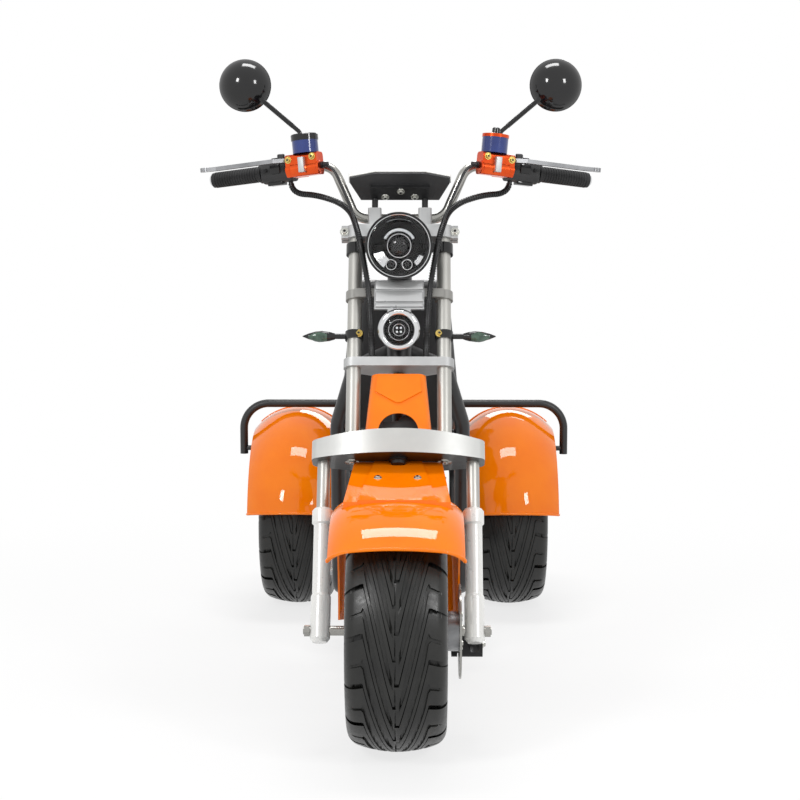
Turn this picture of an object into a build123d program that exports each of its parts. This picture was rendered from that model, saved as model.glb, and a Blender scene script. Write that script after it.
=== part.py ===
"""Electric tricycle with fat tyres: one steered front wheel and two driven rear wheels.

Frame: +Z up, the front points along -Y, +X is the rider's left.
The origin lies on the ground, in the middle of the vehicle's length and width.
"""

import os
from math import cos, radians, sin, sqrt

from build123d import *

os.makedirs("parts", exist_ok=True)


def save(part, name):
    """Names a finished piece and writes its file."""
    part.label = name
    export_step(part, f"parts/{name}.step")


# Stance, in millimetres
TYRE_R = 238.0
TYRE_HALF_W = 98.0
WHEELBASE = 1300.0
TRACK = 594.0
FENDER_GAP = 82.0
FENDER_R = TYRE_R + FENDER_GAP
LENGTH = TYRE_R + WHEELBASE + FENDER_R
FRONT_AXLE_Y = TYRE_R - LENGTH / 2
REAR_AXLE_Y = FRONT_AXLE_Y + WHEELBASE
WHEEL_X = TRACK / 2

# Clearances
CLAMP_FIT = 0.15
RUNNING_FIT = 0.05
SEAT_GAP = 0.3

# Steering: stations along the fork are measured from the front axle, up the rake
RAKE = 26.0
STEM_SETBACK = 35.0
STEM_R = 14.0
LEG_X = 156.0
UPPER_X = 97.0
GUARD_GAP = 37.0
GUARD_R = TYRE_R + GUARD_GAP
CROWN_S = GUARD_R + 82.0
CROWN_T = 40.0
CROWN_RISE = 12.0
MID_CLAMP_S = CROWN_S + 211.0
MID_CLAMP_T = 20.0
YOKE_S = MID_CLAMP_S + 306.0
YOKE_T = 30.0
STANCHION_R = 13.5
UPPER_TUBE_R = 15.5
COLLAR_S = CROWN_S - 133.0
COLLAR_T = 31.0
COLLAR_R = 22.0

FORK = Plane(
    origin=(0, FRONT_AXLE_Y, TYRE_R),
    x_dir=(1, 0, 0),
    z_dir=(0, sin(radians(RAKE)), cos(radians(RAKE))),
)


def on_fork(x, back, s):
    """World point at x, so far behind the legs' plane, at station s up the fork."""
    return FORK.from_local_coords(Vector(x, back, s))


def upright(x, back):
    """Plane that stands along the fork at x: local x sideways, local y up the fork."""
    return Plane(origin=on_fork(x, back, 0), x_dir=(1, 0, 0), z_dir=-FORK.y_dir)


def fork_line(x, back):
    """Axis up the fork at x."""
    return Axis(on_fork(x, back, 0), FORK.z_dir)


def dome_mid(rim_r, depth):
    """Halfway point of a dome's arc from its pole to its rim, measured from the pole."""
    ball = (rim_r**2 + depth**2) / (2 * depth)
    return rim_r / 2, ball - sqrt(ball**2 - (rim_r / 2) ** 2)


def across(point):
    """Plane that faces +X at a point, for what is turned or bored along X."""
    return Plane(origin=point, x_dir=(0, 1, 0), z_dir=(1, 0, 0))


def radial(x, y, angle=90.0):
    """Plane through a wheel's axle: local x along the axle, local y out at an angle above the front."""
    a = radians(angle)
    return Plane(origin=(x, y, TYRE_R), x_dir=(1, 0, 0), z_dir=(0, -sin(a), -cos(a)))


def axle_line(x, y, sense=1):
    """Axis of a wheel. With sense -1 a turn goes from the front over the top."""
    return Axis((x, y, TYRE_R), (sense, 0, 0))


# Wheels
BEAD_R = TYRE_R - 85.5
BEAD_HALF_W = 84.0
FLANGE_R = BEAD_R + 10.5
FLANGE_HALF_W = 90.0
SHOULDER_HALF_W = 78.0
SHOULDER_R = TYRE_R - 14.0
WALL_R = TYRE_R - 38.0
TYRE_WALL = 13.0
AXLE_R = 7.5
STUB_R = 12.0
HUB_R = 40.0
SPOKES = 5
SPOKE_SPLAY = 11.0
SPOKE_W = 17.0
SPOKE_T = 34.0
DRUM_R = BEAD_R - 72.5
WELL_R = BEAD_R - 14.5
RIM_WALL = 7.5
DRUM_IN = 70.0
FRONT_HUB = (-72.0, 124.0)
REAR_HUB = (-DRUM_IN, 52.0)

# Each wheel: name, centre x, centre y, side of its outer face, hub span from the centre, bore
WHEELS = [
    ("front", 0.0, FRONT_AXLE_Y, 1, FRONT_HUB, AXLE_R),
    ("rear_left", WHEEL_X, REAR_AXLE_Y, 1, REAR_HUB, STUB_R),
    ("rear_right", -WHEEL_X, REAR_AXLE_Y, -1, REAR_HUB, STUB_R),
]

for name, wx, wy, side, hub_span, bore in WHEELS:
    bead_in = BEAD_R + SEAT_GAP
    with BuildPart() as tyre:
        with BuildSketch(radial(wx, wy)):
            with BuildLine():
                ThreePointArc((-SHOULDER_HALF_W, SHOULDER_R), (0, TYRE_R), (SHOULDER_HALF_W, SHOULDER_R))
                ThreePointArc(
                    (SHOULDER_HALF_W, SHOULDER_R), (TYRE_HALF_W, WALL_R), (BEAD_HALF_W, FLANGE_R + 3)
                )
                Polyline(
                    (BEAD_HALF_W, FLANGE_R + 3),
                    (BEAD_HALF_W, bead_in),
                    (BEAD_HALF_W - TYRE_WALL, bead_in),
                    (BEAD_HALF_W - TYRE_WALL, FLANGE_R + 3),
                )
                ThreePointArc(
                    (BEAD_HALF_W - TYRE_WALL, FLANGE_R + 3),
                    (0, TYRE_R - TYRE_WALL),
                    (TYRE_WALL - BEAD_HALF_W, FLANGE_R + 3),
                )
                Polyline(
                    (TYRE_WALL - BEAD_HALF_W, FLANGE_R + 3),
                    (TYRE_WALL - BEAD_HALF_W, bead_in),
                    (-BEAD_HALF_W, bead_in),
                    (-BEAD_HALF_W, FLANGE_R + 3),
                )
                ThreePointArc(
                    (-BEAD_HALF_W, FLANGE_R + 3), (-TYRE_HALF_W, WALL_R), (-SHOULDER_HALF_W, SHOULDER_R)
                )
            make_face()
        revolve(axis=axle_line(wx, wy))
    save(tyre.part, f"{name}_tyre")

    lip = BEAD_HALF_W + SEAT_GAP
    with BuildPart() as rim:
        with BuildSketch(radial(wx, wy)):
            with BuildLine():
                Polyline(
                    (-FLANGE_HALF_W, BEAD_R - RIM_WALL),
                    (-FLANGE_HALF_W, FLANGE_R),
                    (-lip, FLANGE_R),
                    (-lip, BEAD_R),
                    (-58, BEAD_R),
                    (-44, WELL_R),
                    (44, WELL_R),
                    (58, BEAD_R),
                    (lip, BEAD_R),
                    (lip, FLANGE_R),
                    (FLANGE_HALF_W, FLANGE_R),
                    (FLANGE_HALF_W, BEAD_R - RIM_WALL),
                    (62, BEAD_R - RIM_WALL),
                    (48, WELL_R - 7),
                    (-48, WELL_R - 7),
                    (-62, BEAD_R - RIM_WALL),
                    close=True,
                )
            make_face()
        revolve(axis=axle_line(wx, wy))
        with BuildSketch(across((wx, wy, TYRE_R))):
            for lean in (-SPOKE_SPLAY, SPOKE_SPLAY):
                with PolarLocations(0, SPOKES, start_angle=90 + lean):
                    with Locations(((HUB_R - 5 + WELL_R - 3) / 2, 0)):
                        Rectangle(WELL_R - HUB_R + 2, SPOKE_W)
        extrude(amount=SPOKE_T / 2, both=True)
        with BuildSketch(across((wx + side * hub_span[0], wy, TYRE_R))):
            Circle(HUB_R)
        extrude(amount=side * (hub_span[1] - hub_span[0]))
        if name != "front":
            with BuildSketch(across((wx - side * DRUM_IN, wy, TYRE_R))):
                Circle(DRUM_R)
            extrude(amount=side * (DRUM_IN - SPOKE_T / 2))
        with BuildSketch(across((wx, wy, TYRE_R))):
            Circle(bore + RUNNING_FIT)
        extrude(amount=2 * TYRE_HALF_W, both=True, mode=Mode.SUBTRACT)
    save(rim.part, f"{name}_rim")

# Front brake disc, bolted to the hub's outer face
DISC_R = BEAD_R - 57.5
DISC_T = 4.0
with BuildPart() as front_disc:
    with BuildSketch(across((FRONT_HUB[1], FRONT_AXLE_Y, TYRE_R))):
        Circle(DISC_R)
        Circle(20, mode=Mode.SUBTRACT)
        with PolarLocations(0.57 * DISC_R, 6):
            Circle(0.147 * DISC_R, mode=Mode.SUBTRACT)
    extrude(amount=DISC_T)
save(front_disc.part, "front_disc")

# Front axle with its spacers and end nuts
SLIDER_R = 18.0
SLIDER_FOOT_R = 20.5
FOOT_S = (-24.0, 75.0)
LEG_IN = LEG_X - SLIDER_FOOT_R
with BuildPart() as front_axle:
    with BuildSketch(across((-LEG_X - 34, FRONT_AXLE_Y, TYRE_R))):
        Circle(AXLE_R)
    extrude(amount=2 * (LEG_X + 34))
    for nut_x in (-LEG_X - 32, LEG_X + SLIDER_FOOT_R + SEAT_GAP):
        with BuildSketch(across((nut_x, FRONT_AXLE_Y, TYRE_R))):
            RegularPolygon(12, 6)
        extrude(amount=32 - SLIDER_FOOT_R - SEAT_GAP)
    with BuildSketch(across((SEAT_GAP - LEG_IN, FRONT_AXLE_Y, TYRE_R))):
        Circle(10)
    extrude(amount=LEG_IN + FRONT_HUB[0] - 2 * SEAT_GAP)
    with BuildSketch(across((FRONT_HUB[1] + DISC_T + SEAT_GAP, FRONT_AXLE_Y, TYRE_R))):
        Circle(10)
    extrude(amount=LEG_IN - FRONT_HUB[1] - DISC_T - 2 * SEAT_GAP)
save(front_axle.part, "front_axle")

# Lower fork legs, each turned about its own axis
with BuildPart() as fork_sliders:
    for x in (-LEG_X, LEG_X):
        with BuildSketch(upright(x, 0)):
            with BuildLine():
                Polyline(
                    (0, FOOT_S[0]),
                    (SLIDER_FOOT_R - 6, FOOT_S[0]),
                    (SLIDER_FOOT_R, FOOT_S[0] + 8),
                    (SLIDER_FOOT_R, FOOT_S[1] - 6),
                    (SLIDER_R, FOOT_S[1]),
                    (SLIDER_R, COLLAR_S - 4),
                    (COLLAR_R, COLLAR_S),
                    (COLLAR_R, COLLAR_S + COLLAR_T - 5),
                    (COLLAR_R - 4, COLLAR_S + COLLAR_T),
                    (STANCHION_R + CLAMP_FIT, COLLAR_S + COLLAR_T),
                    (STANCHION_R + CLAMP_FIT, FOOT_S[1] + 5),
                    (0, FOOT_S[1] + 5),
                    close=True,
                )
            make_face()
        revolve(axis=fork_line(x, 0))
    with BuildSketch(across((0, FRONT_AXLE_Y, TYRE_R))):
        Circle(AXLE_R + CLAMP_FIT)
    extrude(amount=300, both=True, mode=Mode.SUBTRACT)
save(fork_sliders.part, "fork_sliders")

# Fork tubes: stanchions up to the crown, upper tubes from the crown to the yoke
STANCHION_S0 = FOOT_S[1] + 5 + SEAT_GAP
CROWN_TOP = CROWN_S + CROWN_T
YOKE_TOP = YOKE_S + YOKE_T
with BuildPart() as fork_tubes:
    with BuildSketch(FORK.offset(STANCHION_S0)):
        with Locations((-LEG_X, 0), (LEG_X, 0)):
            Circle(STANCHION_R)
    extrude(amount=CROWN_TOP + 1 - STANCHION_S0)
    with BuildSketch(FORK.offset(CROWN_S + 2)):
        with Locations((-UPPER_X, 0), (UPPER_X, 0)):
            Circle(UPPER_TUBE_R)
    extrude(amount=YOKE_TOP - 2 - CROWN_S)
save(fork_tubes.part, "fork_tubes")

# Lower crown: a thick plate bowed forward, narrower at its ends and arched along its top
CROWN_HALF = 181.0
ARCH_HALF = CROWN_HALF + 20
arches = []
for gap in (0.0, SEAT_GAP):
    with BuildSketch(upright(0, 0)) as arch:
        with BuildLine():
            ThreePointArc(
                (-ARCH_HALF, CROWN_TOP - 3 + gap),
                (0, CROWN_TOP + CROWN_RISE + gap),
                (ARCH_HALF, CROWN_TOP - 3 + gap),
            )
            Polyline(
                (ARCH_HALF, CROWN_TOP - 3 + gap),
                (ARCH_HALF, CROWN_S),
                (-ARCH_HALF, CROWN_S),
                (-ARCH_HALF, CROWN_TOP - 3 + gap),
            )
        make_face()
    arches.append(arch.sketch)
with BuildPart() as lower_crown:
    with BuildSketch(FORK.offset(CROWN_S)) as crown_outline:
        with BuildLine():
            ThreePointArc((-CROWN_HALF, -26), (0, -72), (CROWN_HALF, -26))
            Line((CROWN_HALF, -26), (CROWN_HALF, 26))
            ThreePointArc((CROWN_HALF, 26), (0, 66), (-CROWN_HALF, 26))
            Line((-CROWN_HALF, 26), (-CROWN_HALF, -26))
        make_face()
        fillet(crown_outline.vertices(), 20)
    extrude(amount=CROWN_T + CROWN_RISE)
    extrude(arches[0], amount=2 * CROWN_HALF, both=True, mode=Mode.INTERSECT)
    with BuildSketch(FORK.offset(CROWN_S)):
        with Locations((-LEG_X, 0), (LEG_X, 0)):
            Circle(STANCHION_R + CLAMP_FIT)
        with Locations((-UPPER_X, 0), (UPPER_X, 0)):
            Circle(UPPER_TUBE_R + CLAMP_FIT)
        with Locations((0, STEM_SETBACK)):
            Circle(STEM_R + CLAMP_FIT)
    extrude(amount=CROWN_T + CROWN_RISE, mode=Mode.SUBTRACT)
save(lower_crown.part, "lower_crown")

# Middle clamp
with BuildPart() as mid_clamp:
    with BuildSketch(FORK.offset(MID_CLAMP_S)):
        with Locations((-UPPER_X, 0), (UPPER_X, 0)):
            Circle(22)
        with Locations((0, STEM_SETBACK)):
            Circle(28)
        make_hull()
        with Locations((-UPPER_X, 0), (UPPER_X, 0)):
            Circle(UPPER_TUBE_R + CLAMP_FIT, mode=Mode.SUBTRACT)
        with Locations((0, STEM_SETBACK)):
            Circle(STEM_R + CLAMP_FIT, mode=Mode.SUBTRACT)
    extrude(amount=MID_CLAMP_T)
save(mid_clamp.part, "mid_clamp")

# Top yoke with a pinch ear outside each tube
with BuildPart() as top_yoke:
    with BuildSketch(FORK.offset(YOKE_S)):
        with Locations((-UPPER_X, 0), (UPPER_X, 0)):
            Circle(22)
        with Locations((0, STEM_SETBACK)):
            Circle(28)
        make_hull()
        with Locations((-UPPER_X - 20, 0), (UPPER_X + 20, 0)):
            Rectangle(24, 26)
        with Locations((-UPPER_X, 0), (UPPER_X, 0)):
            Circle(UPPER_TUBE_R + CLAMP_FIT, mode=Mode.SUBTRACT)
        with Locations((-UPPER_X - 20, 0), (UPPER_X + 20, 0)):
            Rectangle(26, 3, mode=Mode.SUBTRACT)
        with Locations((0, STEM_SETBACK)):
            Circle(STEM_R + CLAMP_FIT, mode=Mode.SUBTRACT)
    extrude(amount=YOKE_T)
save(top_yoke.part, "top_yoke")

# Steering stem with the domed nut under the crown and the cap nut on the yoke
with BuildPart() as stem:
    with BuildSketch(FORK.offset(CROWN_S)):
        with Locations((0, STEM_SETBACK)):
            Circle(STEM_R)
    extrude(amount=YOKE_TOP - CROWN_S)
    with BuildSketch(FORK.offset(CROWN_S - 14)):
        with Locations((0, STEM_SETBACK)):
            Circle(26)
    extrude(amount=14)
    with BuildSketch(FORK.offset(YOKE_TOP)):
        with Locations((0, STEM_SETBACK)):
            RegularPolygon(19, 6)
    extrude(amount=12)
    nut_rim = [e for e in stem.edges().filter_by(GeomType.CIRCLE) if abs(e.radius - 26) < 0.1]
    chamfer(nut_rim, 4)
save(stem.part, "steering_stem")

# Front mudguard: a turned arch over the tyre with a ramp that rises to the crown
GUARD_HALF = LEG_X - 24.0
GUARD_WALL = 4.0
GUARD_IN = GUARD_HALF - GUARD_WALL
GUARD_EDGE_R = GUARD_R - 37
RIDGE_H = 4.0
GUARD_LIP = 47.5
GUARD_ARC = 141.0
RAMP_FRONT_Y = FRONT_AXLE_Y - 48
ramp_top = on_fork(0, -4, CROWN_S - SEAT_GAP)
with BuildPart() as front_mudguard:
    for wide, narrow, lift in (
        (2 * GUARD_HALF - 52, 2 * GUARD_HALF - 80, 0.0),
        (GUARD_HALF + 24, GUARD_HALF - 34, RIDGE_H),
    ):
        with BuildSketch(Plane(origin=(0, RAMP_FRONT_Y, 0), x_dir=(1, 0, 0), z_dir=(0, -1, 0))):
            with Locations((0, TYRE_R + GUARD_R - 13 + lift / 2)):
                Rectangle(wide, 18 + lift)
        with BuildSketch(Plane(origin=(0, ramp_top.Y, 0), x_dir=(1, 0, 0), z_dir=(0, -1, 0))):
            with Locations((0, ramp_top.Z - 50 + lift / 2)):
                Rectangle(narrow, 100 + lift)
        loft()
    with BuildSketch(FORK.offset(CROWN_S - SEAT_GAP)):
        Rectangle(4 * GUARD_HALF, 4 * GUARD_HALF)
    extrude(amount=60, mode=Mode.SUBTRACT)
    with BuildSketch(radial(0, FRONT_AXLE_Y, GUARD_LIP)):
        with BuildLine():
            Polyline((GUARD_IN, GUARD_EDGE_R - 2), (GUARD_IN, 0), (-GUARD_IN, 0), (-GUARD_IN, GUARD_EDGE_R - 2))
            ThreePointArc(
                (-GUARD_IN, GUARD_EDGE_R - 2), (13 - GUARD_IN, GUARD_R - 24), (41 - GUARD_IN, GUARD_R - 11)
            )
            ThreePointArc(
                (41 - GUARD_IN, GUARD_R - 11), (0, GUARD_R - GUARD_WALL), (GUARD_IN - 41, GUARD_R - 11)
            )
            ThreePointArc(
                (GUARD_IN - 41, GUARD_R - 11), (GUARD_IN - 13, GUARD_R - 24), (GUARD_IN, GUARD_EDGE_R - 2)
            )
        make_face()
    revolve(axis=axle_line(0, FRONT_AXLE_Y, -1), mode=Mode.SUBTRACT)
    with BuildSketch(radial(0, FRONT_AXLE_Y, GUARD_LIP)):
        with BuildLine():
            ThreePointArc((44 - GUARD_HALF, GUARD_R - 7), (0, GUARD_R), (GUARD_HALF - 44, GUARD_R - 7))
            ThreePointArc(
                (GUARD_HALF - 44, GUARD_R - 7), (GUARD_HALF - 14, GUARD_R - 21), (GUARD_HALF, GUARD_EDGE_R)
            )
            Polyline(
                (GUARD_HALF, GUARD_EDGE_R),
                (GUARD_HALF, GUARD_EDGE_R - 4),
                (GUARD_IN, GUARD_EDGE_R - 4),
                (GUARD_IN, GUARD_EDGE_R - 2),
            )
            ThreePointArc(
                (GUARD_IN, GUARD_EDGE_R - 2), (GUARD_IN - 13, GUARD_R - 24), (GUARD_IN - 41, GUARD_R - 11)
            )
            ThreePointArc(
                (GUARD_IN - 41, GUARD_R - 11), (0, GUARD_R - GUARD_WALL), (41 - GUARD_IN, GUARD_R - 11)
            )
            ThreePointArc(
                (41 - GUARD_IN, GUARD_R - 11), (13 - GUARD_IN, GUARD_R - 24), (-GUARD_IN, GUARD_EDGE_R - 2)
            )
            Polyline(
                (-GUARD_IN, GUARD_EDGE_R - 2),
                (-GUARD_IN, GUARD_EDGE_R - 4),
                (-GUARD_HALF, GUARD_EDGE_R - 4),
                (-GUARD_HALF, GUARD_EDGE_R),
            )
            ThreePointArc(
                (-GUARD_HALF, GUARD_EDGE_R), (14 - GUARD_HALF, GUARD_R - 21), (44 - GUARD_HALF, GUARD_R - 7)
            )
        make_face()
    revolve(axis=axle_line(0, FRONT_AXLE_Y, -1), revolution_arc=GUARD_ARC)
save(front_mudguard.part, "front_mudguard")

# Stays from the lower legs to the mudguard's sides
STAY_S = CROWN_S - 162.0
with BuildPart() as mudguard_stays:
    with BuildSketch(across(on_fork(GUARD_HALF + SEAT_GAP, 0, STAY_S))):
        Circle(8)
    extrude(amount=LEG_X - SLIDER_R - GUARD_HALF - 2 * SEAT_GAP)
    with BuildSketch(Plane(on_fork(GUARD_HALF + SEAT_GAP, 0, STAY_S), FORK.y_dir, (1, 0, 0))):
        Rectangle(20, 40)
    extrude(amount=3)
    mirror(about=Plane.YZ)
save(mudguard_stays.part, "mudguard_stays")

# Front brake caliper behind the left leg's foot
with BuildPart() as front_caliper:
    with BuildSketch(across((110, FRONT_AXLE_Y, TYRE_R))):
        with Locations((DISC_R - 27, -38)):
            RectangleRounded(60, 54, 8)
    extrude(amount=64)
    with BuildSketch(across((146, FRONT_AXLE_Y, TYRE_R))):
        with Locations((DISC_R / 2 - 23.5, -28)):
            Rectangle(DISC_R - 49, 34)
    extrude(amount=20)
    with BuildSketch(across((FRONT_HUB[1] - 2, FRONT_AXLE_Y, TYRE_R))):
        Circle(DISC_R + 4)
    extrude(amount=DISC_T + 4, mode=Mode.SUBTRACT)
    with BuildSketch(FORK):
        with Locations((LEG_X, 0)):
            Circle(SLIDER_FOOT_R + SEAT_GAP)
    extrude(amount=200, both=True, mode=Mode.SUBTRACT)
save(front_caliper.part, "front_caliper")

# Nose cowl on the crown, open behind, with a raised V on its face and an arch over the horn
COWL_TOP = CROWN_TOP + 146.0
COWL_WALL = 3.0
COWL_W = (142.0, 116.0)
COWL_FRONT = (-52.0, -36.0)
BROW_H = 3.0
ARCH_R = 42.0
with BuildPart() as nose_cowl:
    for grow, back in ((0.0, 0.0), (COWL_WALL, 30.0)):
        for s, w, y0 in ((CROWN_TOP, COWL_W[0], COWL_FRONT[0]), (COWL_TOP, COWL_W[1], COWL_FRONT[1])):
            s_end = s - grow if s == COWL_TOP else s - 3 * grow
            with BuildSketch(FORK.offset(s_end)):
                with Locations((0, (y0 + grow + 4 + back) / 2)):
                    RectangleRounded(w - 2 * grow, 4 + back - y0 - grow, 18 - grow)
        loft(mode=Mode.SUBTRACT if grow else Mode.ADD)
    lean = (COWL_FRONT[1] - COWL_FRONT[0]) / (COWL_TOP - CROWN_TOP)
    for spans in (((78.0, 10.0), (104.0, 98.0)), ((104.0, 98.0), (139.0, 90.0))):
        for rise, w in spans:
            face_y = COWL_FRONT[0] + lean * rise
            with BuildSketch(FORK.offset(CROWN_TOP + rise)):
                with Locations((0, face_y - BROW_H / 2 + 1)):
                    Rectangle(w, BROW_H + 2)
        loft()
    with BuildSketch(upright(0, 0)):
        with Locations((0, CROWN_TOP + CROWN_RISE)):
            Circle(ARCH_R)
    extrude(amount=80, mode=Mode.SUBTRACT)
    extrude(arches[1], amount=2 * CROWN_HALF, both=True, mode=Mode.SUBTRACT)
save(nose_cowl.part, "nose_cowl")

# Horn on the crown behind the cowl's arch, with its relay box beside it
with BuildPart() as horn:
    with BuildSketch(upright(0, 6)):
        with Locations((20, CROWN_TOP + CROWN_RISE + 26)):
            Circle(22)
        with Locations((-16, CROWN_TOP + CROWN_RISE + 10)):
            Rectangle(38, 48)
        with Locations((8, CROWN_TOP + 8)):
            Rectangle(50, 24)
    extrude(amount=24)
    extrude(arches[1], amount=2 * CROWN_HALF, both=True, mode=Mode.SUBTRACT)
save(horn.part, "horn")

# Handlebar clamps on the yoke
BAR_R = 11.0
BAR_BACK = 10.0
BAR_S = YOKE_TOP + 29.0
CLAMP_X = 56.0
CLAMP_TOP = YOKE_TOP + 48
bar_centre = on_fork(0, BAR_BACK, BAR_S)
with BuildPart() as bar_clamps:
    with BuildSketch(FORK.offset(YOKE_TOP)):
        with Locations((-CLAMP_X, BAR_BACK), (CLAMP_X, BAR_BACK)):
            RectangleRounded(30, 36, 5)
    extrude(amount=CLAMP_TOP - YOKE_TOP)
    with BuildSketch(across(bar_centre)):
        Circle(BAR_R + CLAMP_FIT)
    extrude(amount=200, both=True, mode=Mode.SUBTRACT)
save(bar_clamps.part, "bar_clamps")

# Handlebar: one bent tube, risers out of the clamps, grips swept back
BAR_BASE_X = 98.0
RISER_TOP = Vector(150, bar_centre.Y + 11, bar_centre.Z + 120)
BAR_END = Vector(427, bar_centre.Y + 123, bar_centre.Z + 91)
with BuildPart() as handlebar:
    with BuildLine() as bar_path:
        FilletPolyline(
            (-BAR_END.X, BAR_END.Y, BAR_END.Z),
            (-RISER_TOP.X, RISER_TOP.Y, RISER_TOP.Z),
            (-BAR_BASE_X, bar_centre.Y, bar_centre.Z),
            (BAR_BASE_X, bar_centre.Y, bar_centre.Z),
            (RISER_TOP.X, RISER_TOP.Y, RISER_TOP.Z),
            (BAR_END.X, BAR_END.Y, BAR_END.Z),
            radius=40,
        )
    with BuildSketch(Plane(origin=bar_path.line @ 0, z_dir=bar_path.line % 0)):
        Circle(BAR_R)
        Circle(BAR_R - 2.5, mode=Mode.SUBTRACT)
    sweep()
save(handlebar.part, "handlebar")

# Frame of the left bar end: x forward, y up, z inward along the bar
bar_dir = (BAR_END - RISER_TOP).normalized()
BAR = Plane(
    origin=BAR_END,
    x_dir=Vector(bar_dir.Y, -bar_dir.X, 0).normalized(),
    z_dir=-bar_dir,
)


def on_bar(forward, up, inward):
    """World point near the left bar end."""
    return BAR.from_local_coords(Vector(forward, up, inward))


def bar_deck(up):
    """Plane over the bar, facing up: local x forward, local y outward along the bar."""
    return Plane(origin=on_bar(0, up, 0), x_dir=BAR.x_dir, z_dir=BAR.y_dir)


GRIP_L = 125.0
POD = (127.0, 203.0)
MASTER = (207.0, 285.0)
LEVER_UP = 14.0
with BuildPart() as grips:
    with BuildSketch(BAR.offset(-4)):
        Circle(17)
    extrude(amount=GRIP_L + 4)
    with BuildSketch(BAR.offset(GRIP_L - 6)):
        Circle(21)
    extrude(amount=6)
    with BuildSketch(BAR):
        Circle(BAR_R + CLAMP_FIT)
    extrude(amount=GRIP_L, mode=Mode.SUBTRACT)
    mirror(about=Plane.YZ)
save(grips.part, "grips")

with BuildPart() as switch_pods:
    with BuildSketch(BAR.offset(POD[0])):
        RectangleRounded(44, 50, 18)
    extrude(amount=POD[1] - POD[0])
    fillet(switch_pods.faces().filter_by(GeomType.PLANE).group_by(Axis.X)[-1].edges(), 4)
    with BuildSketch(BAR.offset(POD[0])):
        Circle(BAR_R + CLAMP_FIT)
    extrude(amount=POD[1] - POD[0], mode=Mode.SUBTRACT)
    mirror(about=Plane.YZ)
save(switch_pods.part, "switch_pods")

# Brake master cylinders, their reservoirs and caps
RES_UP = 30.0
RES_H = 34.0
RES_R = 29.0
RES_INWARD = 252.0
MASTER_FORWARD = 33.0
with BuildPart() as brake_masters:
    with BuildSketch(BAR.offset(MASTER[0])):
        Circle(19)
        with Locations((18, 0)):
            Rectangle(36, 28)
    extrude(amount=28)
    with BuildSketch(BAR.offset(MASTER[0])):
        with Locations((MASTER_FORWARD, 5)):
            RectangleRounded(34, 50, 8)
    extrude(amount=MASTER[1] - MASTER[0])
    with BuildSketch(BAR.offset(MASTER[0])):
        Circle(BAR_R + CLAMP_FIT)
    extrude(amount=28, mode=Mode.SUBTRACT)
    with BuildSketch(bar_deck(RES_UP + RES_H)):
        with Locations((MASTER_FORWARD, -RES_INWARD)):
            Circle(RES_R + 1)
    extrude(amount=7)
    mirror(about=Plane.YZ)
    with BuildSketch(bar_deck(RES_UP + RES_H + 7)):
        with Locations((MASTER_FORWARD, -RES_INWARD)):
            Circle(8)
    extrude(amount=12)
save(brake_masters.part, "brake_masters")

with BuildPart() as reservoirs:
    with BuildSketch(bar_deck(RES_UP)):
        with Locations((MASTER_FORWARD, -RES_INWARD)):
            Circle(RES_R)
    extrude(amount=RES_H)
    mirror(about=Plane.YZ)
save(reservoirs.part, "reservoirs")

with BuildPart() as brake_levers:
    with BuildSketch(bar_deck(LEVER_UP)):
        with BuildLine():
            Polyline(
                (24, SEAT_GAP - MASTER[0]),
                (48, SEAT_GAP - MASTER[0]),
                (67, -184),
                (68, -40),
                (76, -14),
                (66, -10),
                (57, -40),
                (54, -172),
                (24, -192),
                close=True,
            )
        make_face()
        with Locations((71, -12)):
            Circle(9)
    extrude(amount=9)
    mirror(about=Plane.YZ)
save(brake_levers.part, "brake_levers")

# Mirrors: dome heads that face back, on bent stems
MIRROR = bar_centre + Vector(350, 51, 299.8)
MIRROR_R = 57.5
DOME_D = 38.0
mid_r, mid_y = dome_mid(MIRROR_R, DOME_D)
stem_foot = on_bar(0, 20, 221)
with BuildPart() as mirrors:
    with BuildLine() as stem_path:
        FilletPolyline(
            (stem_foot.X, stem_foot.Y, stem_foot.Z),
            (stem_foot.X, stem_foot.Y, stem_foot.Z + 62),
            (MIRROR.X - 30, MIRROR.Y - 12, MIRROR.Z - 26),
            radius=14,
        )
    with BuildSketch(Plane(origin=stem_foot, z_dir=(0, 0, 1))):
        Circle(5)
    sweep()
    with BuildSketch(Plane(origin=stem_foot, z_dir=(0, 0, 1))):
        Circle(9)
    extrude(amount=26)
    with BuildSketch(Plane(origin=MIRROR)):
        with BuildLine():
            ThreePointArc((0, -DOME_D), (mid_r, mid_y - DOME_D), (MIRROR_R, 0))
            Polyline((MIRROR_R, 0), (MIRROR_R, 8), (53, 8), (53, 3), (0, 3), (0, -DOME_D))
        make_face()
    revolve(axis=Axis(MIRROR, (0, 1, 0)))
    mirror(about=Plane.YZ)
save(mirrors.part, "mirrors")

with BuildPart() as mirror_glasses:
    with BuildSketch(Plane(origin=MIRROR + Vector(0, 3, 0), x_dir=(1, 0, 0), z_dir=(0, 1, 0))):
        Circle(52.7)
    extrude(amount=3)
    mirror(about=Plane.YZ)
save(mirror_glasses.part, "mirror_glasses")

# Dash plate that slopes down towards the rider, on a bracket with two posts
DASH_T = 14.0
DASH = Plane(
    origin=bar_centre + Vector(0, 5, 76),
    x_dir=(1, 0, 0),
    z_dir=Vector(0, 56, 65).normalized(),
)
with BuildPart() as dash:
    with BuildSketch(DASH.offset(-DASH_T / 2)):
        with BuildLine():
            Polyline(
                (-56, -43), (56, -43), (111, -28), (111, -12),
                (88, 43), (-88, 43), (-111, -12), (-111, -28), close=True,
            )
        make_face()
    extrude(amount=DASH_T)
save(dash.part, "dash")

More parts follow.
